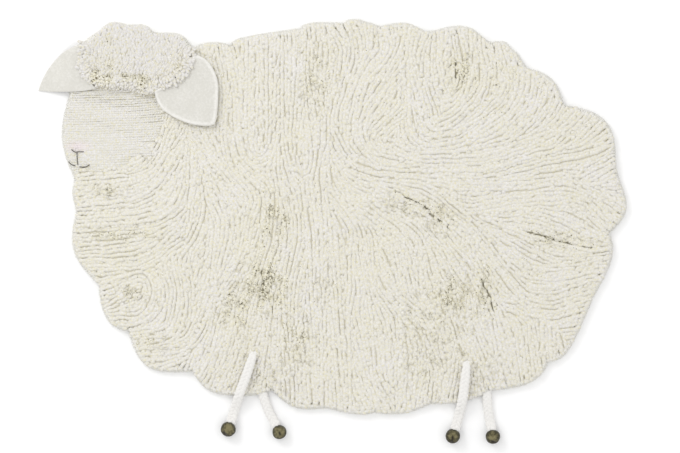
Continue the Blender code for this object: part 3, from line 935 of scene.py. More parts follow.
def wool_finish(name, tip_colour, root_and_shade_colour, warm_colour, fibre_depth, tint=None):
    """Wool whose colour goes from root to tip; tint may change it further, place by place."""
    made, shader, place = new_finish(name, 0.92, 0.25)
    fibres, clouds = place.noise(FIBRES, detail=3), place.noise(CLOUDS, detail=3)
    warm, tip = place.attribute("warm"), place.attribute("tip")
    # Root colour in the depth of each tuft: the roots' own warmer tone and painted shade of the grooves
    colour = ((1 - tip * TIP_CLEAN).clamp() ** ROOT_FADES).mix(tip_colour, root_and_shade_colour)
    tone = warm * WARM_SHARE + clouds * CLOUD_SHARE + fibres * FIBRE_SHARE - LEAST_SHARE
    colour = tone.mix(colour, warm_colour)
    colour = (warm * WARM_CANCELS + (COOL_UNDER - clouds) * COOL_SHARE).mix(colour, FLEECE_COOL)
    grain = place.noise(GRAINS, detail=1)
    colour = ((grain - 0.5) * DULL_GRAINS).mix(colour, warm_colour)
    colour = ((0.5 - grain) * BRIGHT_GRAINS).mix(colour, BRIGHT)
    warm, specks = warm.clamp(), place.noise(PINHOLES, detail=1)
    # Painted shade: dark dots where the noise peaks, as the shade in pinholes between curls, sooner where
    # the wool is warm
    colour = ((specks - PINHOLE_OVER + warm * PINHOLE_SOONER) * PINHOLE_SHARP).mix(colour, PINHOLE_SHADE)
    # Painted highlight: bright specks where the noise is lowest, as light catching the tips, sooner where
    # the wool is warm
    colour = ((BRIGHT_UNDER - specks + warm * BRIGHT_SOONER) * BRIGHT_SHARP).mix(colour, BRIGHT)
    colour = tint(place, colour) if tint else colour
    paint(shader, colour, fibres + place.noise(FINE_FIBRES) * 0.5, fibre_depth)
    return made


fleece_wool = wool_finish("fleece wool", FLEECE_TIP, FLEECE_ROOT_AND_GROOVE_SHADE, FLEECE_WARM, 0.5 * MM)
knot_wool = wool_finish("topknot wool", KNOT_TIP, FLEECE_ROOT_AND_GROOVE_SHADE, FLEECE_WARM, 0.5 * MM)
print(fleece_wool.name, len(fleece_wool.node_tree.nodes), "nodes")

# %% [markdown]
# ## The backing
# Under the wool lies the cotton cloth that holds the tufts, stiffened by their roots. It hardly
# shows, but it closes the gaps between tufts and is the sheet that the whole rug hangs on.

# %% Backing cloth
BACKING_INSET = 4.5 * MM
BACKING_NET = 8 * MM
OPEN_PILE = 2.8 * MM  # how deep one can look into the pile
RUFFLE_OPENS = 0.2  # and how much deeper where it is ruffled
RIM_SHARE, RIM_RISE = 0.3, 12 * MM  # share of the height left at the rim, and width of the way up
WEAVE = 400  # threads to the metre
CANVAS, CANVAS_DEEP = (0.69, 0.655, 0.54, 1), (0.61, 0.575, 0.46, 1)


def offset_ring(ring, distance):
    """A clockwise ring of points moved inwards along each corner's half angle."""
    inward = turned_right(np.roll(ring, -1, axis=0) - np.roll(ring, 1, axis=0))
    return ring + distance * inward / np.linalg.norm(inward, axis=1)[:, None]


def flat_sheet(ring, inner):
    """A flat bmesh of triangles that fills the ring and passes through the inner points."""
    points = [Vector(p) for p in np.concatenate([ring, inner])]
    flat, _, faces, _, _, _ = delaunay_2d_cdt(points, [], [list(range(len(ring)))], 1, 1e-6)
    bm = bmesh.new()
    verts = [bm.verts.new((*point, 0)) for point in flat]
    for face in faces:
        bm.faces.new([verts[i] for i in face])
    return bm


def net_inside(ring, spacing, margin):
    """A square net of points that lie inside the ring by a margin."""
    net = square_net(ring.min(axis=0), ring.max(axis=0), spacing)
    return net[inside_line(net, ring) > margin]


def seen_from_above(verts):
    return np.array([vert.co[:2] for vert in verts])


def lift(bm, height_at):
    """Sets every point of a flat sheet to a height that depends on its place."""
    for vert, height in zip(bm.verts, height_at(seen_from_above(bm.verts))):
        vert.co.z = height


def extruded(bm):
    """Extrudes a sheet's faces. Gives the new points, which are its other side."""
    made = bmesh.ops.extrude_face_region(bm, geom=bm.faces[:])
    return [item for item in made["geom"] if isinstance(item, bmesh.types.BMVert)]


def backing_height(points):
    """Up to where the roots are packed solid, which is lower under a parting."""
    solid = pile_height(points) - OPEN_PILE * (1 + RUFFLE_OPENS * spots_at(points)[0])
    solid -= PARTING_DEPTH * near_partings(points, BACKING_NET)
    inward = np.clip((inside_rim(points) - BACKING_INSET) / RIM_RISE, 0, 1)
    return solid * (RIM_SHARE + (1 - RIM_SHARE) * np.sqrt(inward))


canvas, shader, place = new_finish("backing canvas", 0.95, 0.0)
colour = place.noise(WEAVE, detail=1).mix(CANVAS, CANVAS_DEEP)
# Painted shade: the backing is darkened under each parting
colour = (place.attribute("parted") * PARTING_SHADE_PAINT).mix(colour, PINHOLE_SHADE)
feed(colour, shader.inputs["Base Color"])

backing_ring = offset_ring(RIM, BACKING_INSET)
bm = flat_sheet(backing_ring, net_inside(backing_ring, BACKING_NET, BACKING_NET / 2))
lift(bm, backing_height)
for vert in extruded(bm):
    vert.co.z = 0
backing = mesh_object("backing", bm, canvas, smooth=False)
places = seen_from_above(backing.data.vertices)
# How near each point is to a parting, for the painted shade of the backing
point_values(backing.data, "parted", near_partings(places, BACKING_NET))
print("backing", len(backing.data.polygons), "faces")

# %% [markdown]
# ## The fleece
# Each row leans, rises and swells a little differently from the next, so some grooves between rows
# open wide and others close. Near the rim the tufts fan out over the edge, and where the map says
# ruffled, chance gets more to say. Where the wool parts, the tufts first step back from the line.

# %% Fleece tufts
TUFT_ALONG, TUFT_ACROSS = 11.5 * MM, 8.6 * MM
ROW_LEAN, ROW_STEP, ROW_SWELL = 0.6 * MM, 0.35 * MM, 0.09  # how much whole rows differ
FULLER = 0.09  # how much a row swells and shrinks along its way
WARM_OPENS = 0.09  # how much slimmer the rows are where the wool is warm
RUFFLE_LOOSENS, RUFFLE_SHRINKS = 3, 0.2  # how much more is left to chance there, how much smaller
RIM_FALL, RIM_REACH = 4 * MM, 1.6 * RIM_ROUND  # how far the tufts lean out near the rim
FLEECE_CHANCE = Chance(0.5 * MM, 0.10, 0.3 * MM, 0.12, (0.92, 1.1))
# Waves of fullness: each row holds millimetres across and the shift a row, then both upwards
ROW_WAVES = ((31, 2.1, 37, 1.7), (9, 1.3, 11, 2.6))
SLOW_LEAN = 1.5  # how much the slow wave makes the tufts lean
ROOT_SHARE = 0.3
SLOPE_STEP = 0.5 * MM


def uphill(value_at, points):
    """The direction, 1 long, in which a value grows fastest."""
    east, north = np.array([SLOPE_STEP, 0]), np.array([0, SLOPE_STEP])
    slope = [value_at(points + step) - value_at(points - step) for step in (east, north)]
    return np.stack(slope, axis=1) / np.maximum(np.linalg.norm(slope, axis=0), 1e-9)[:, None]


def parted(points):
    """The points, moved apart on both sides of each parting."""
    for stroke in PARTINGS:
        wave = np.sin((points[:, 0] - points[:, 1]) / PARTING_WAVE)
        wide = PARTING_OPEN * (1 + PARTING_UNEVEN * wave)
        apart = wide * np.exp(-away_from(stroke, points) / PARTING_OPEN)
        points = points + uphill(partial(away_from, stroke), points) * apart[:, None]
    return points


def rows_stand(spots, headings, rows, along, across, loose):
    """Roots, sizes, turns, leans and warmths of tufts in rows; loose is how much is left to chance."""
    count = len(spots)
    ruffle, warmth = spots_at(spots)
    chance = loose * (1 + RUFFLE_LOOSENS * ruffle)
    leaning, rising, swelling = dice.normal(0, loose, (3, rows.max() + 1))[:, rows]
    x, y = spots.T / MM
    slow, quick = (np.sin(x / a + rows * b) * np.sin(y / c + rows * d) for a, b, c, d in ROW_WAVES)
    sideways = np.column_stack([-headings.imag, headings.real])
    near_rim = np.clip(1 - inside_rim(spots) / RIM_REACH, 0, 1)
    leans = sideways * (ROW_LEAN * (leaning + SLOW_LEAN * loose * slow))[:, None]
    leans -= uphill(inside_rim, spots) * (RIM_FALL * near_rim**1.5)[:, None]
    leans += dice.normal(0, FLEECE_CHANCE.tip, (count, 2)) * chance[:, None]
    turns = np.angle(headings) + dice.normal(0, FLEECE_CHANCE.turn, count) * chance
    tops = pile_height(spots) + ROW_STEP * rising + dice.normal(0, FLEECE_CHANCE.top, count) * chance
    roots = np.column_stack([spots, tops * ROOT_SHARE])
    scale = dice.uniform(*FLEECE_CHANCE.sizes, count) * (1 - RUFFLE_SHRINKS * ruffle)
    full = 1 + ROW_SWELL * swelling + FULLER * loose * (slow + quick) - WARM_OPENS * warmth
    sizes = np.column_stack([along * scale, across * scale * full, tops * (1 - ROOT_SHARE)])
    return roots, sizes, turns, leans, warmth + dice.normal(0, FLEECE_CHANCE.tone, count)


FLEECE_MESHES = 4  # from left to right, because one mesh of all tufts would be heavy to handle
stand = rows_stand(parted(fleece_spots), fleece_headings, fleece_rows, TUFT_ALONG, TUFT_ACROSS, 1.0)
pile = []
for number, here in enumerate(np.array_split(np.argsort(fleece_spots[:, 0]), FLEECE_MESHES), 1):
    pile.append(plant(f"fleece_{number}", TUFT, *(part[here] for part in stand), fleece_wool))

# %% [markdown]
# ## The rim
# At the rim the outer tufts have nothing beside them and fall outwards in a rounded edge, which is
# then clipped. Three rings of tufts, one over the other, make it. Their wool is painted paler than
# the fleece's, as painted light on the rim's shaded sides.

# %% Rim tufts
# Each row is one ring of tufts: how far inside the rim they are rooted, how high, how tall they
# are, and how far their tips fall outwards.
RINGS = (
    # inside, root, height, outwards
    (6.0 * MM, 0.4 * MM, 5.0 * MM, 4.2 * MM),
    (7.0 * MM, 3.0 * MM, 6.0 * MM, 4.0 * MM),
    (9.0 * MM, 6.0 * MM, 6.6 * MM, 3.5 * MM),
)
RIM_RADIAL, RIM_TANGENT = 6.0 * MM, 5.2 * MM
RIM_CHANCE = Chance(0.25 * MM, 0.12, 0, 0.12, (0.92, 1.08))
RIM_TIP = (0.765, 0.755, 0.705, 1)  # paler than the fleece: painted light on the rim's shaded sides
# Also paler than the fleece's root colour, as painted light on the rim's shaded sides
RIM_ROOT = (0.75, 0.735, 0.68, 1)


def joined(parts):
    """Roots, sizes and so on of all parts, each as one array."""
    return [np.concatenate(values) for values in zip(*parts)]


ring_parts = []
for inside, root, height, outwards in RINGS:
    ring = offset_ring(RIM, inside)
    count = len(ring)
    outward = unit(RIM - ring)
    share = pile_height(offset_ring(RIM, RIM_ROUND)) / FLEECE_PILE
    _, warmth = spots_at(ring)
    roots = np.column_stack([ring, root * share])
    sizes = np.column_stack([np.full(count, RIM_RADIAL), np.full(count, RIM_TANGENT), height * share])
    sizes *= dice.uniform(*RIM_CHANCE.sizes, (count, 1))
    turns = np.arctan2(outward[:, 1], outward[:, 0]) + dice.normal(0, RIM_CHANCE.turn, count)
    leans = outward * outwards + dice.normal(0, RIM_CHANCE.tip, (count, 2))
    ring_parts.append((roots, sizes, turns, leans, warmth + dice.normal(0, RIM_CHANCE.tone, count)))
# Painted light: the rim's wool is a paler copy of the fleece's wool
rim_wool = wool_finish("rim wool", RIM_TIP, RIM_ROOT, RIM_ROOT, 0.4 * MM)
pile.append(plant("rim_tufts", TUFT, *joined(ring_parts), rim_wool))

# %% [markdown]
# ## The face
# The face is tufted in finer rows and cut short, so that it looks almost woven, and towards the
# muzzle its rows are so full that the grooves between them close. Its nose has a pink
# blush that fades outwards. The distance to the middle of the nose, measured on squashed
# coordinates, gives such an oval spot at once.

# %% Face tufts
FACE_ALONG, FACE_ACROSS = 8.0 * MM, 5.25 * MM
FACE_UNEVEN, FACE_WAVE = 0.2, 21 * MM  # how much, and along what length, a row swells and shrinks
MUZZLE, MUZZLE_REACH, MUZZLE_FULL = np.array([-425, 135]) * MM, np.array([95, 55]) * MM, 0.45
BLUSH_X, BLUSH_Y = -433 * MM, 144 * MM
BLUSH_WIDE, BLUSH_HIGH, BLUSH_SHARE = 28 * MM, 13 * MM, 0.9
BLUSH = (0.775, 0.695, 0.705, 1)


def nose_blush(place, colour):
    """A spot that fades from the middle of the nose outwards."""
    squashed = place.vector_maths("MULTIPLY", (1 / BLUSH_WIDE, 1 / BLUSH_HIGH, 0))
    away = squashed.vector_maths("DISTANCE", (BLUSH_X / BLUSH_WIDE, BLUSH_Y / BLUSH_HIGH, 0), out=1)
    return ((1 - away).clamp() * BLUSH_SHARE).mix(colour, BLUSH)


face_wool = wool_finish("face wool", FACE_TIP, FLEECE_ROOT_AND_GROOVE_SHADE, FLEECE_WARM, 0.3 * MM, nose_blush)
level = np.full(len(face_spots), cmath.rect(1, FACE_UPHILL))
muzzle = np.exp(-np.sum(((face_spots - MUZZLE) / MUZZLE_REACH) ** 2, axis=1))
uneven = np.sin(face_spots[:, 0] / FACE_WAVE + face_rows * 2.3) * np.sin(face_rows * 1.7)
across = FACE_ACROSS * (1 + MUZZLE_FULL * muzzle + FACE_UNEVEN * uneven)
stand = rows_stand(face_spots, level, face_rows, FACE_ALONG, across, 0.4)
pile.append(plant("face_pile", TUFT, *stand, face_wool))

# %% [markdown]
# ## The topknot
# The topknot's wool is long enough to fall. Its tufts point to the top of the head, and four rows
# of locks along its lower edge tumble over the brow and, higher up, over the roots of both ears.

# %% Topknot tufts
KNOT_ALONG, KNOT_ACROSS = 13.0 * MM, 6.4 * MM
KNOT_FALL = 7 * MM
KNOT_CLIPPED = 18 * MM  # nearer to the edge than this, the tufts are shorter and stand upright
KNOT_SHORTEST = 0.4  # share of their length that is left there
KNOT_MIDDLE_Y, KNOT_HALF = 288 * MM, 50 * MM
KNOT_CHANCE = Chance(0.8 * MM, 0.3, 0.35 * MM, 0.15, (0.85, 1.15))
KNOT_LOOSENS, KNOT_SHRINKS = 2, 0.25  # what a ruffle does to the turns and sizes


def knot_stand(spots):
    """Roots, sizes, turns, leans and warmths of long tufts, which lie more at random."""
    count = len(spots)
    upwards = np.clip((spots[:, 1] - KNOT_MIDDLE_Y) / KNOT_HALF, -1, 1)
    from_edge = np.minimum(inside_rim(spots), nearest_on_line(spots, KNOT_LINE)[0])
    room = np.clip(from_edge / KNOT_CLIPPED, 0, 1)
    ruffle, warmth = spots_at(spots)
    leans = np.column_stack([np.zeros(count), KNOT_FALL * upwards * room])
    leans += dice.normal(0, KNOT_CHANCE.tip, (count, 2))
    turns = math.pi / 2 + dice.normal(0, KNOT_CHANCE.turn, count) * (1 + KNOT_LOOSENS * ruffle)
    tops = pile_height(spots) + dice.normal(0, KNOT_CHANCE.top, count)
    roots = np.column_stack([spots, tops * ROOT_SHARE])
    scale = dice.uniform(*KNOT_CHANCE.sizes, count) * (1 - KNOT_SHRINKS * ruffle)
    along = KNOT_ALONG * scale * (KNOT_SHORTEST + (1 - KNOT_SHORTEST) * room)
    sizes = np.column_stack([along, KNOT_ACROSS * scale, tops * (1 - ROOT_SHARE)])
    return roots, sizes, turns, leans, warmth + dice.normal(0, KNOT_CHANCE.tone, count)


pile.append(plant("topknot_pile", TUFT, *knot_stand(knot_spots), knot_wool))

# %% Locks along the topknot's lower edge
LOCK_STEP, LOCK_ASTRAY = 2.8 * MM, 1.4 * MM
LOCK_SIZE = (9.5 * MM, 6.0 * MM, 7.0 * MM)  # long, wide and tall
LOCK_CHANCE = Chance(1.0 * MM, 0.6, 0, 0.15, (0.8, 1.15))
LOCK_FALLS = 0.2, 1.2  # the least and the greatest share of its row's fall that a lock takes
# Each row is a place on the lower edge, how far the locks spill over it and how much higher they are
LOCK_EDGE = (
    # x, y, spill, higher
    (-426, 318, -1, 0),
    (-428, 297, -1, 0),
    (-429, 284, 0, 0),
    (-422, 268, 1, 0),
    (-404, 251, -1, 0),
    (-376, 244, -5, 0),
    (-342, 242, -5, 0),
    (-322, 236, -3, 0),
    (-302, 242, 2, 1),
    (-278, 253, 3, 2),
    (-255, 266, 4, 2),
    (-242, 289, 2, 2),
    (-237, 308, 0, 2),
)
# Each row is one row of locks: how far inside the edge, how high up the pile, how far they fall
LOCK_ROWS = (
    # inside, root, fall
    (1.5 * MM, 0.70, 5.0 * MM),
    (5.0 * MM, 0.72, 4.5 * MM),
    (8.5 * MM, 0.72, 3.5 * MM),
    (12.0 * MM, 0.70, 2.5 * MM),
)

edge, spill, higher = np.split(smooth_line(LOCK_EDGE, LOCK_STEP), (2, 3), axis=1)
outward = unit(turned_right(np.gradient(edge, axis=0)))
lock_parts = []
for inside, share, fall in LOCK_ROWS:
    spots = edge + outward * (spill - inside) + dice.normal(0, LOCK_ASTRAY, edge.shape)
    count = len(spots)
    inner = pile_height(edge - outward * LOCK_SIZE[0])
    roots = np.column_stack([spots, inner * share + higher[:, 0]])
    sizes = np.array(LOCK_SIZE) * dice.uniform(*LOCK_CHANCE.sizes, (count, 3))
    turns = np.arctan2(outward[:, 1], outward[:, 0]) + dice.normal(0, LOCK_CHANCE.turn, count)
    leans = outward * fall * dice.uniform(*LOCK_FALLS, (count, 1))
    leans += dice.normal(0, LOCK_CHANCE.tip, (count, 2))
    warmth = spots_at(spots)[1] + dice.normal(0, LOCK_CHANCE.tone, count)
    lock_parts.append((roots, sizes, turns, leans, warmth))
pile.append(plant("topknot_locks", TUFT, *joined(lock_parts), knot_wool))

# %% [markdown]
# ## Curls
# Small open curls lie along the topknot's lower edge, and a few more wherever the fleece is ruffled.
# A curl is a strand that is spun two thirds of the way round.

# %% Curls
CURL_WIDE, CURL_TALL, CURL_SINK = 7.0 * MM, 6.0 * MM, 2.4 * MM
CURL_OVAL, CURL_SPACING = 0.7, 4.6 * MM
CURL_CHANCE = Chance(0.5 * MM, math.pi, 0, 0, (0.7, 1.2))
CURL_BAND = 11 * MM  # along the topknot's edge
CURLS_IN_BAND, CURLS_IN_RUFFLE = 0.2, 0.5  # share of the places that hold one

curl_spots = scattered(CURL_SPACING, *CORNERS)
curl_kinds = kind_at(curl_spots)
curl_spots, curl_kinds = curl_spots[curl_kinds != NONE], curl_kinds[curl_kinds != NONE]
ruffle, warmth = spots_at(curl_spots)
brow = (curl_kinds == TOPKNOT) & (nearest_on_line(curl_spots, KNOT_LINE)[0] < CURL_BAND)
wanted = np.where(brow, CURLS_IN_BAND, CURLS_IN_RUFFLE * ruffle * (curl_kinds != FACE))
chosen = dice.uniform(0, 1, len(curl_spots)) < wanted
curl_spots, warmth = curl_spots[chosen], warmth[chosen]
count = len(curl_spots)
roots = np.column_stack([curl_spots, pile_height(curl_spots) - CURL_SINK])
sizes = np.array([CURL_WIDE, CURL_WIDE * CURL_OVAL, CURL_TALL])
sizes = sizes * dice.uniform(*CURL_CHANCE.sizes, (count, 1))
turns = dice.uniform(0, 2 * CURL_CHANCE.turn, count)
leans = dice.normal(0, CURL_CHANCE.tip, (count, 2))
pile.append(plant("curls", CURL, roots, sizes, turns, leans, warmth, fleece_wool))

# %% [markdown]
# ## Felt ears
# Both ears are cut from felt. The far one drapes from the brow to the floor. The near one has a
# rolled edge, sewn down with a line of stitches that draws a shallow groove. A flat sheet is lifted
# onto the pile, smoothed as felt lies, and extruded. Then both faces part, most of all in the
# middle, which rounds the edge, and the upper one swells where the roll is.

# %% A felt flap
LIFT = 0.8 * MM
REACH = 3.75 * MM
EAR_STEP = 3 * MM
EDGE_RINGS = (0.7 * MM, 1.5 * MM, 2.5 * MM, 3.6 * MM, 4.8 * MM, 6.0 * MM, 7.2 * MM, 8.6 * MM)
EAR_CLOSEST = 0.7 * MM
EAR_NET_INSET = EDGE_RINGS[-1] + EAR_STEP / 2
SMOOTHINGS = 12
CUT_EDGE = 0.3  # share of the thickness that is left at the edge
RING_KEPT = 0.8  # points of a ring that come nearer to the edge than this share are left out
ROLL_PLACE, ROLL_WIDE, ROLL_LIGHT = 3.0 * MM, 2.6 * MM, 3.12 * MM
GROOVE_PLACE, GROOVE_WIDE, GROOVE_SHARE = 6.6 * MM, 1.1 * MM, 0.4


def highest_pile_near(points, reach=REACH):
    """The highest pile at a point itself and in eight places round it."""
    turns = [(0, 0)] + [(math.cos(a), math.sin(a)) for a in np.linspace(0, 2 * math.pi, 8, endpoint=False)]
    return np.max([pile_height(points + np.array(turn) * reach) for turn in turns], axis=0)


def felt_flap(name, sides, underside, thickness, roll, finish):
    """A felt flap with a rounded edge and a roll along it. Also gives its outline."""
    ring = np.concatenate([smooth_line(side, EAR_STEP)[:-1] for side in sides])
    rings = [offset_ring(ring, inset) for inset in EDGE_RINGS]
    depths = [inside_line(points, ring) for points in rings]
    rings = [points[depth > inset * RING_KEPT] for points, depth, inset in zip(rings, depths, EDGE_RINGS)]
    middle = net_inside(ring, EAR_STEP, EAR_NET_INSET)
    inner = thin_out([(points, EAR_CLOSEST) for points in (*rings, middle)])
    bm = flat_sheet(ring, inner)
    lift(bm, underside)
    for _ in range(SMOOTHINGS):
        bmesh.ops.smooth_vert(bm, verts=bm.verts, factor=0.5, use_axis_z=True)
    upper = list(bm.verts)
    for verts, side in ((upper, 1), (extruded(bm), -1)):
        edge = np.clip(inside_line(seen_from_above(verts), ring), 0, None)
        bulge = np.sqrt(1 - (1 - np.clip(edge / thickness, 0, 1)) ** 2)
        half = thickness / 2 * (CUT_EDGE + (1 - CUT_EDGE) * bulge)
        rolled = hump(edge, ROLL_PLACE, ROLL_WIDE) - GROOVE_SHARE * hump(edge, GROOVE_PLACE, GROOVE_WIDE)
        for vert, height in zip(verts, thickness / 2 + side * half + max(side, 0) * roll * rolled):
            vert.co.z += height
    flap = mesh_object(name, bm, finish)
    edge = inside_line(seen_from_above(flap.data.vertices), ring)
    point_values(flap.data, "roll", hump(edge, ROLL_PLACE, ROLL_LIGHT) * (roll > 0))
    print(f"{name}: {len(flap.data.polygons)} faces, {area_inside(ring) * 1e4:.0f} square cm")
    return flap, ring


# %% The two ears
EAR_LEFT_SIDES = (
    ((-501, 239), (-494, 257), (-483, 277), (-468, 295), (-452, 308), (-430, 318)),
    ((-430, 318), (-425, 300), (-427, 281), (-423, 267), (-412, 254), (-402, 242)),
    ((-402, 242), (-425, 238), (-449, 237), (-476, 237), (-501, 239)),
)
EAR_RIGHT_SIDES = (
    ((-303, 238), (-294, 244), (-276, 254), (-254, 269), (-241, 287), (-236, 302)),
    ((-236, 302), (-217, 293), (-206, 281), (-198, 265), (-194, 248), (-194, 228), (-195, 210),
     (-197, 192), (-200, 182)),
    ((-200, 182), (-208, 179), (-222, 179), (-241, 182), (-258, 188), (-274, 196), (-288, 206),
     (-298, 220), (-303, 238)),
)  # fmt: skip
EAR_LEFT_FALL = 42 * MM
EAR_RIGHT_CURL, EAR_RIGHT_SPAN = 4 * MM, 75 * MM
EAR_CEILING = 16.5 * MM  # above this the topknot's wool closes over an ear's root


def ear_left_underside(points):
    """On the brow's pile, then down to the floor outside the rim."""
    outward = np.clip(-inside_rim(points) / EAR_LEFT_FALL, 0, 1)
    fall = FACE_PILE * (0.5 + 0.5 * np.cos(math.pi * outward))
    carried = np.where(inside_rim(points) > 0, highest_pile_near(points), 0)
    return LIFT + np.minimum(np.maximum(fall, carried), EAR_CEILING)


def ear_right_underside(points):
    """On the fleece and the topknot's foot at its root, rising to its free edge."""
    away = np.clip(nearest_on_line(points, KNOT_LINE)[0] / EAR_RIGHT_SPAN, 0, 1)
    lowest = FLEECE_PILE + EAR_RIGHT_CURL * away**2
    return LIFT + np.maximum(lowest, np.minimum(highest_pile_near(points), EAR_CEILING))


FELT_PANEL, FELT_ROLL = (0.66, 0.645, 0.595, 1), (0.80, 0.785, 0.745, 1)
FELT_FIBRES, FELT_TUFTS, FELT_CLOUDS = 900, 260, 45  # to the metre
FELT_BUMP = 0.6 * MM
ear_felt, shader, place = new_finish("ear felt", 0.95, 0.3)
fibres, tufts = place.noise(FELT_FIBRES, detail=4), place.noise(FELT_TUFTS, detail=3)
clouds = place.noise(FELT_CLOUDS)
tone = place.attribute("roll") * 0.8 + (tufts - 0.5) * 1.6 + (clouds - 0.5) * 0.8 + 0.12
paint(shader, tone.mix(FELT_PANEL, FELT_ROLL), fibres * 0.6 + tufts * 2, FELT_BUMP)

EARS = (
    # node, sides, underside, thickness, roll, what it rests on
    ("ear_left", EAR_LEFT_SIDES, ear_left_underside, 3 * MM, 0, ["tufted_rug", "floor"]),
    ("ear_right", EAR_RIGHT_SIDES, ear_right_underside, 4 * MM, 1.2 * MM, ["tufted_rug"]),
)
for node, sides, underside, thickness, roll, under in EARS:
    ear, ring = felt_flap(f"felt_{node}", sides, underside, thickness, roll, ear_felt)
    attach(ear, BODY)
    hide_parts(node)
    extent(ring)
    area_inside(ring)

# %% [markdown]
# ## Legs
# A leg is a plait of three cotton cords. Seen from above each cord swings from side to side as a
# sine, and it passes over one neighbour and under the other, which is a sine of twice the pace.
# A curve with a round bevel is the quickest tube, and it is made a mesh at the end.

# %% The routes of the legs
LEG_WIDTH, LEG_THICK = 17.5 * MM, 11 * MM
LEG_STEP = 2 * MM
LEG_SLOPE = 0.55  # steepest way down to the floor and up to the foot
GAP = 0.3 * MM
FOOT_SINK = 0.4 * MM
# Each row is one leg: its middle line seen from above, down to its foot
LEGS = {
    "leg_1": ((-134, -206), (-147, -246), (-157, -272), (-165, -298), (-170, -315)),
    "leg_2": ((-119, -276), (-110, -303), (-100, -322)),
    "leg_3": ((228, -222), (224, -256), (221, -280), (216, -307), (211, -326)),
    "leg_4": ((262, -276), (264, -303), (268, -325)),
}
NEAR_LEGS = "leg_1", "leg_3"  # these are sewn onto the fleece, the others come out from under it
# Each row is one foot: its middle, radius and darkness, which is how much further the painted shade of its
# sides reaches, and its crease as seen from above, in radii
FEET = {
    # leg: x, y, radius, darker, crease from x, y, to x, y
    "leg_1": (-177.5, -336, 13.0, 0.00, -0.62, -0.38, -0.30, -0.85),
    "leg_2": (-90.5, -341, 12.4, 0.01, 0.02, -0.05, 0.12, -0.30),
    "leg_3": (204, -348, 12.6, 0.05, -0.06, -0.10, -0.16, -1.00),
    "leg_4": (272, -349, 12.6, 0.05, -0.10, -0.62, 0.30, -0.75),
}
ROOT_DIVE, ROOT_DIVE_LENGTH = 17 * MM, 24 * MM  # a root on the fleece sinks into it
ROOT_BACK = 7 * MM  # and starts this much further in
UNDER_RIM = 7 * MM  # how far the other roots reach in under the rim
INTO_FOOT = 2 * MM


def leg_route(name):
    """Points along the leg: over the fleece or from under the rim, to the floor, up to its foot."""
    x, y, radius = np.array(FEET[name][:3]) * MM
    knots = np.array(LEGS[name], float)
    foot = np.array([x, y])
    start, towards_leg = unit(np.array([knots[1] - knots[0], knots[-1] * MM - foot]))
    knots[-1] = (foot + towards_leg * (radius - INTO_FOOT)) / MM
    on_fleece = name in NEAR_LEGS
    knots[0] -= start * (ROOT_BACK if on_fleece else UNDER_RIM) / MM
    flat = smooth_line(knots, LEG_STEP)
    places = np.arange(len(flat)) * LEG_STEP
    over = (inside_rim(flat) > -LEG_WIDTH / 2) & on_fleece
    wanted = LEG_THICK / 2 + GAP + np.where(over, highest_pile_near(flat, LEG_WIDTH / 6), 0)
    wanted[-2:] = radius - FOOT_SINK
    apart = np.abs(places[:, None] - places[None, :])
    heights = np.max(wanted[None, :] - LEG_SLOPE * apart, axis=1)
    if on_fleece:
        heights -= ROOT_DIVE * np.clip(1 - places / ROOT_DIVE_LENGTH, 0, 1) ** 2
        heights = np.maximum(heights, LEG_THICK / 2 + GAP)
    return np.column_stack([flat, heights])


# %% Plaits
STRAND = 4.2 * MM  # radius of one cord of the plait
PLAIT_TURN = 23 * MM  # length of one whole swing
STRANDS = 3
ROOT_TAPER, ROOT_TIED = 30 * MM, 0.4  # over this length, from this share of its width, a sewn leg widens
TUBE_SIDES = 3  # bevel resolution, which gives ten sides


def yarns(name, lines, radius, finish):
    """Round yarns along lines of points, as one mesh with closed ends."""
    curve = bpy.data.curves.new(name, "CURVE")
    curve.dimensions = "3D"
    curve.bevel_depth = radius
    curve.bevel_resolution = TUBE_SIDES
    curve.use_fill_caps = True
    for line in lines:
        spline = curve.splines.new("POLY")
        spline.points.add(len(line) - 1)
        spline.points.foreach_set("co", np.column_stack([line, np.ones(len(line))]).ravel())
    guide = bpy.data.objects.new(name, curve)
    tube = bpy.data.meshes.new_from_object(guide)
    bm = bmesh.new()
    bm.from_mesh(tube)
    bmesh.ops.remove_doubles(bm, verts=bm.verts, dist=0.001 * MM)
    bpy.data.objects.remove(guide)
    bpy.data.curves.remove(curve)
    bpy.data.meshes.remove(tube)
    return mesh_object(name, bm, finish)


def plait_lines(route, root_share):
    """The middle lines of three cords plaited along a route, closer together at its root."""
    forward = unit(np.gradient(route, axis=0))
    side = unit(np.cross(forward, (0, 0, 1)))
    up = np.cross(side, forward)
    places = np.arange(len(route)) * LEG_STEP
    spread = root_share + (1 - root_share) * np.clip(places / ROOT_TAPER, 0, 1)[:, None]
    lines = []
    for strand in range(STRANDS):
        angle = 2 * math.pi * (places / PLAIT_TURN + strand / STRANDS)[:, None]
        swing = (LEG_WIDTH / 2 - STRAND) * spread * np.sin(angle)
        weave = (LEG_THICK / 2 - STRAND) * np.sin(2 * angle)
        lines.append(route + side * swing + up * weave)
    return lines


CORD_TOP, CORD_DEEP = (0.84, 0.825, 0.80, 1), (0.79, 0.775, 0.75, 1)
CORD_FIBRES, CORD_FINE = 700, 1800  # to the metre
white_cord, shader, place = new_finish("white cotton cord", 0.9, 0.2)
fibres = place.noise(CORD_FIBRES, detail=3)
tone = fibres * 1.4 - 0.3
paint(shader, tone.mix(CORD_DEEP, CORD_TOP), fibres + place.noise(CORD_FINE) * 0.5, 0.2 * MM)

for node in LEGS:
    lines = plait_lines(leg_route(node), ROOT_TIED if node in NEAR_LEGS else 1)
    leg = yarns(f"plaited_{node}", lines, STRAND, white_cord)
    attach(leg, BODY)
    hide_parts(node)
    print(leg.name, len(leg.data.polygons), "faces")

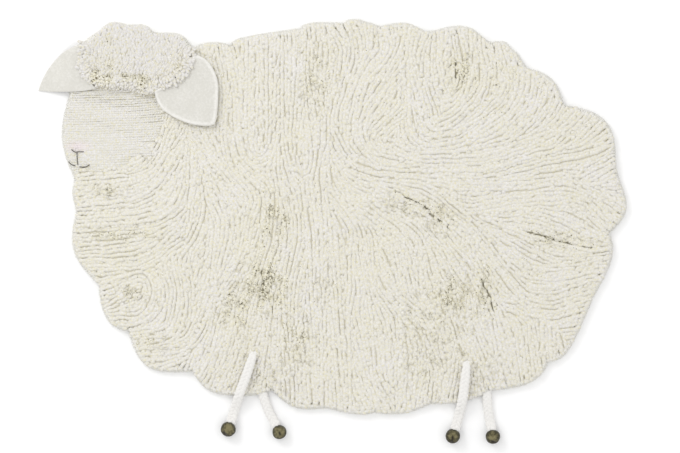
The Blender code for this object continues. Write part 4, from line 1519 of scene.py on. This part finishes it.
# %% [markdown]
# The near legs are sewn onto the fleece, and its wool closes over their ends. An arc of locks that
# lean inwards over each end hides where the cord is cut off.

# %% Wool round the roots of the near legs
ROOT_LOCKS, ROOT_ARC = 17, math.radians(130)
ROOT_RADIUS, ROOT_LEAN, ROOT_LEANS = 8 * MM, 2.5 * MM, (0.3, 1.4)
ROOT_SIZE, ROOT_SUNK = (9 * MM, 6 * MM, 9 * MM), 6.5 * MM
ROOT_CHANCE = Chance(0, 0.2, 0, 0, (0.8, 1.2))

for number, node in enumerate(NEAR_LEGS, 1):
    (x, y), (next_x, next_y) = LEGS[node][:2]
    back = math.atan2(y - next_y, x - next_x) + np.linspace(-ROOT_ARC, ROOT_ARC, ROOT_LOCKS)
    outward = np.column_stack([np.cos(back), np.sin(back)])
    away = ROOT_RADIUS * dice.uniform(*ROOT_CHANCE.sizes, (ROOT_LOCKS, 1))
    spots = np.array([x, y]) * MM + outward * away
    roots = np.column_stack([spots, pile_height(spots) - ROOT_SUNK])
    sizes = np.array(ROOT_SIZE) * dice.uniform(*ROOT_CHANCE.sizes, (ROOT_LOCKS, 3))
    leans = -outward * ROOT_LEAN * dice.uniform(*ROOT_LEANS, (ROOT_LOCKS, 1))
    turns = back + dice.normal(0, ROOT_CHANCE.turn, ROOT_LOCKS)
    stand = roots, sizes, turns, leans, np.zeros(ROOT_LOCKS)
    pile.append(plant(f"root_locks_{number}", TUFT, *stand, fleece_wool))

# %% [markdown]
# ## Feet
# A felted ball is rolled by hand from wet wool, so it is never quite round, and a crease stays where
# the last layer closed. We start from a ball, press the dents and the crease in, and keep the depth
# of the crease as a value at each point, so that the material can paint shade into it. The material
# also paints a ball's sides and lower parts darker than its top, as shade.

# %% Felted balls
FOOT_DENTS, FOOT_RINGS = 0.025, 0.02
CREASE_DEEP, CREASE_WIDE = 0.16, 0.17  # against the radius
BALL_SIDES, BALL_RINGS = 40, 28


def felted_ball(name, x, y, radius, darker, crease, finish):
    radius = radius * MM
    bm = bmesh.new()
    bmesh.ops.create_uvsphere(bm, u_segments=BALL_SIDES, v_segments=BALL_RINGS, radius=1.0)
    creased = []
    ends = np.array(crease).reshape(2, 2)
    for vert in bm.verts:
        a, b, c = vert.co
        away, _ = nearest_on_line(np.array([[a, b]]), ends)
        depth = hump(away[0], 0, CREASE_WIDE) if c > 0 else 0
        creased.append(depth)
        dents = FOOT_DENTS * math.sin(3 * a + x) * math.sin(4 * b + y) - FOOT_RINGS * math.cos(5 * c)
        vert.co *= (1 + dents - CREASE_DEEP * depth) * radius
        vert.co += Vector((x * MM, y * MM, radius - FOOT_SINK))
        vert.co.z = max(vert.co.z, 0)
    ball = mesh_object(name, bm, finish)
    # The crease's depth, which the material paints as shade
    point_values(ball.data, "crease", creased)
    # Painted shade: the material darkens a ball by this height, most on its sides and lowest parts
    heights = np.array([vert.co.z for vert in ball.data.vertices])
    point_values(ball.data, "high", heights / (2 * radius) - darker)
    return ball


OLIVE_TOP, OLIVE_SIDE_SHADE = (0.21, 0.185, 0.095, 1), (0.036, 0.031, 0.012, 1)
OLIVE_CREASE_SHADE = (0.018, 0.014, 0.008, 1)
OLIVE_FIBRES, OLIVE_MOTTLES = 500, 190  # to the metre
LIGHT_OVER, SIDE_FADES = 0.97, 4.4  # share of the height above which a ball keeps its top colour, and how fast painted shade takes over below
olive_felt, shader, place = new_finish("olive felt", 0.95, 0.15)
fibres, mottles = place.noise(OLIVE_FIBRES, detail=4), place.noise(OLIVE_MOTTLES, detail=2)
# Painted shade on the sides, over the felt's own fibres and mottles
shade = (LIGHT_OVER - place.attribute("high")) * SIDE_FADES + (fibres - 0.5) * 1.4 + (mottles - 0.5) * 2.4
# Painted shade: the crease is darkened by its depth
colour = place.attribute("crease").mix(shade.mix(OLIVE_TOP, OLIVE_SIDE_SHADE), OLIVE_CREASE_SHADE)
paint(shader, colour, fibres + place.noise(FINE_FIBRES) * 0.4, FELT_BUMP)

for node, (x, y, radius, darker, *crease) in FEET.items():
    foot = felted_ball(node.replace("leg", "felted_foot"), x, y, radius, darker, crease, olive_felt)
    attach(foot, BODY)
    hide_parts(node.replace("leg", "foot"))
    print(foot.name, len(foot.data.polygons), "faces")

# %% [markdown]
# ## Nose and mouth
# Four lines of dark yarn are sewn over the short pile. A line of stitches dips at every hole, so
# the yarn's height follows a row of arches.

# %% Stitched lines
# Each row is one line of stitches as seen from above, in millimetres
STITCHED = (
    ((-443.8, 139.1), (-438.7, 134.9), (-431.9, 135.2), (-423.3, 135.2)),  # nose
    ((-434.6, 134.9), (-434.2, 124.0), (-433.2, 112.8)),  # lip
    ((-449.4, 117.9), (-443.8, 113.4), (-437.4, 111.0)),  # mouth
    ((-430.2, 109.4), (-421.0, 108.9), (-413.4, 112.6)),
)
STITCH_LENGTH = 6 * MM
STITCH_RADIUS = 0.65 * MM
STITCH_STEP = 0.7 * MM
STITCH_RISE, STITCH_BASE = 1.3 * MM, 0.2 * MM


def stitched_line(knots):
    flat = smooth_line(knots, STITCH_STEP)
    places = np.arange(len(flat)) * STITCH_STEP
    stitches = max(1, round(places[-1] / STITCH_LENGTH))
    arches = np.sqrt(np.abs(np.sin(math.pi * stitches * places / places[-1])))
    heights = highest_pile_near(flat, STITCH_RADIUS) + STITCH_BASE + STITCH_RISE * arches
    return np.column_stack([flat, heights])


YARN_DEEP, YARN_TOP = (0.06, 0.052, 0.042, 1), (0.13, 0.118, 0.095, 1)
YARN_FIBRES, YARN_FINE = 900, 1400  # to the metre
dark_yarn, shader, place = new_finish("dark yarn", 0.85, 0.1)
paint(shader, place.noise(YARN_FIBRES).mix(YARN_DEEP, YARN_TOP), place.noise(YARN_FINE), 0.3 * MM)
stitches = yarns("face_stitches", [stitched_line(knots) for knots in STITCHED], STITCH_RADIUS, dark_yarn)
print(stitches.name, len(stitches.data.polygons), "faces")

# %% Join everything to the body
for piece in (backing, *pile, stitches):
    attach(piece, BODY)
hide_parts("tufted_rug")
laid = {"held": "laid", "rests_on": ["floor"], "area": area_inside(RIM)}
extent(RIM)
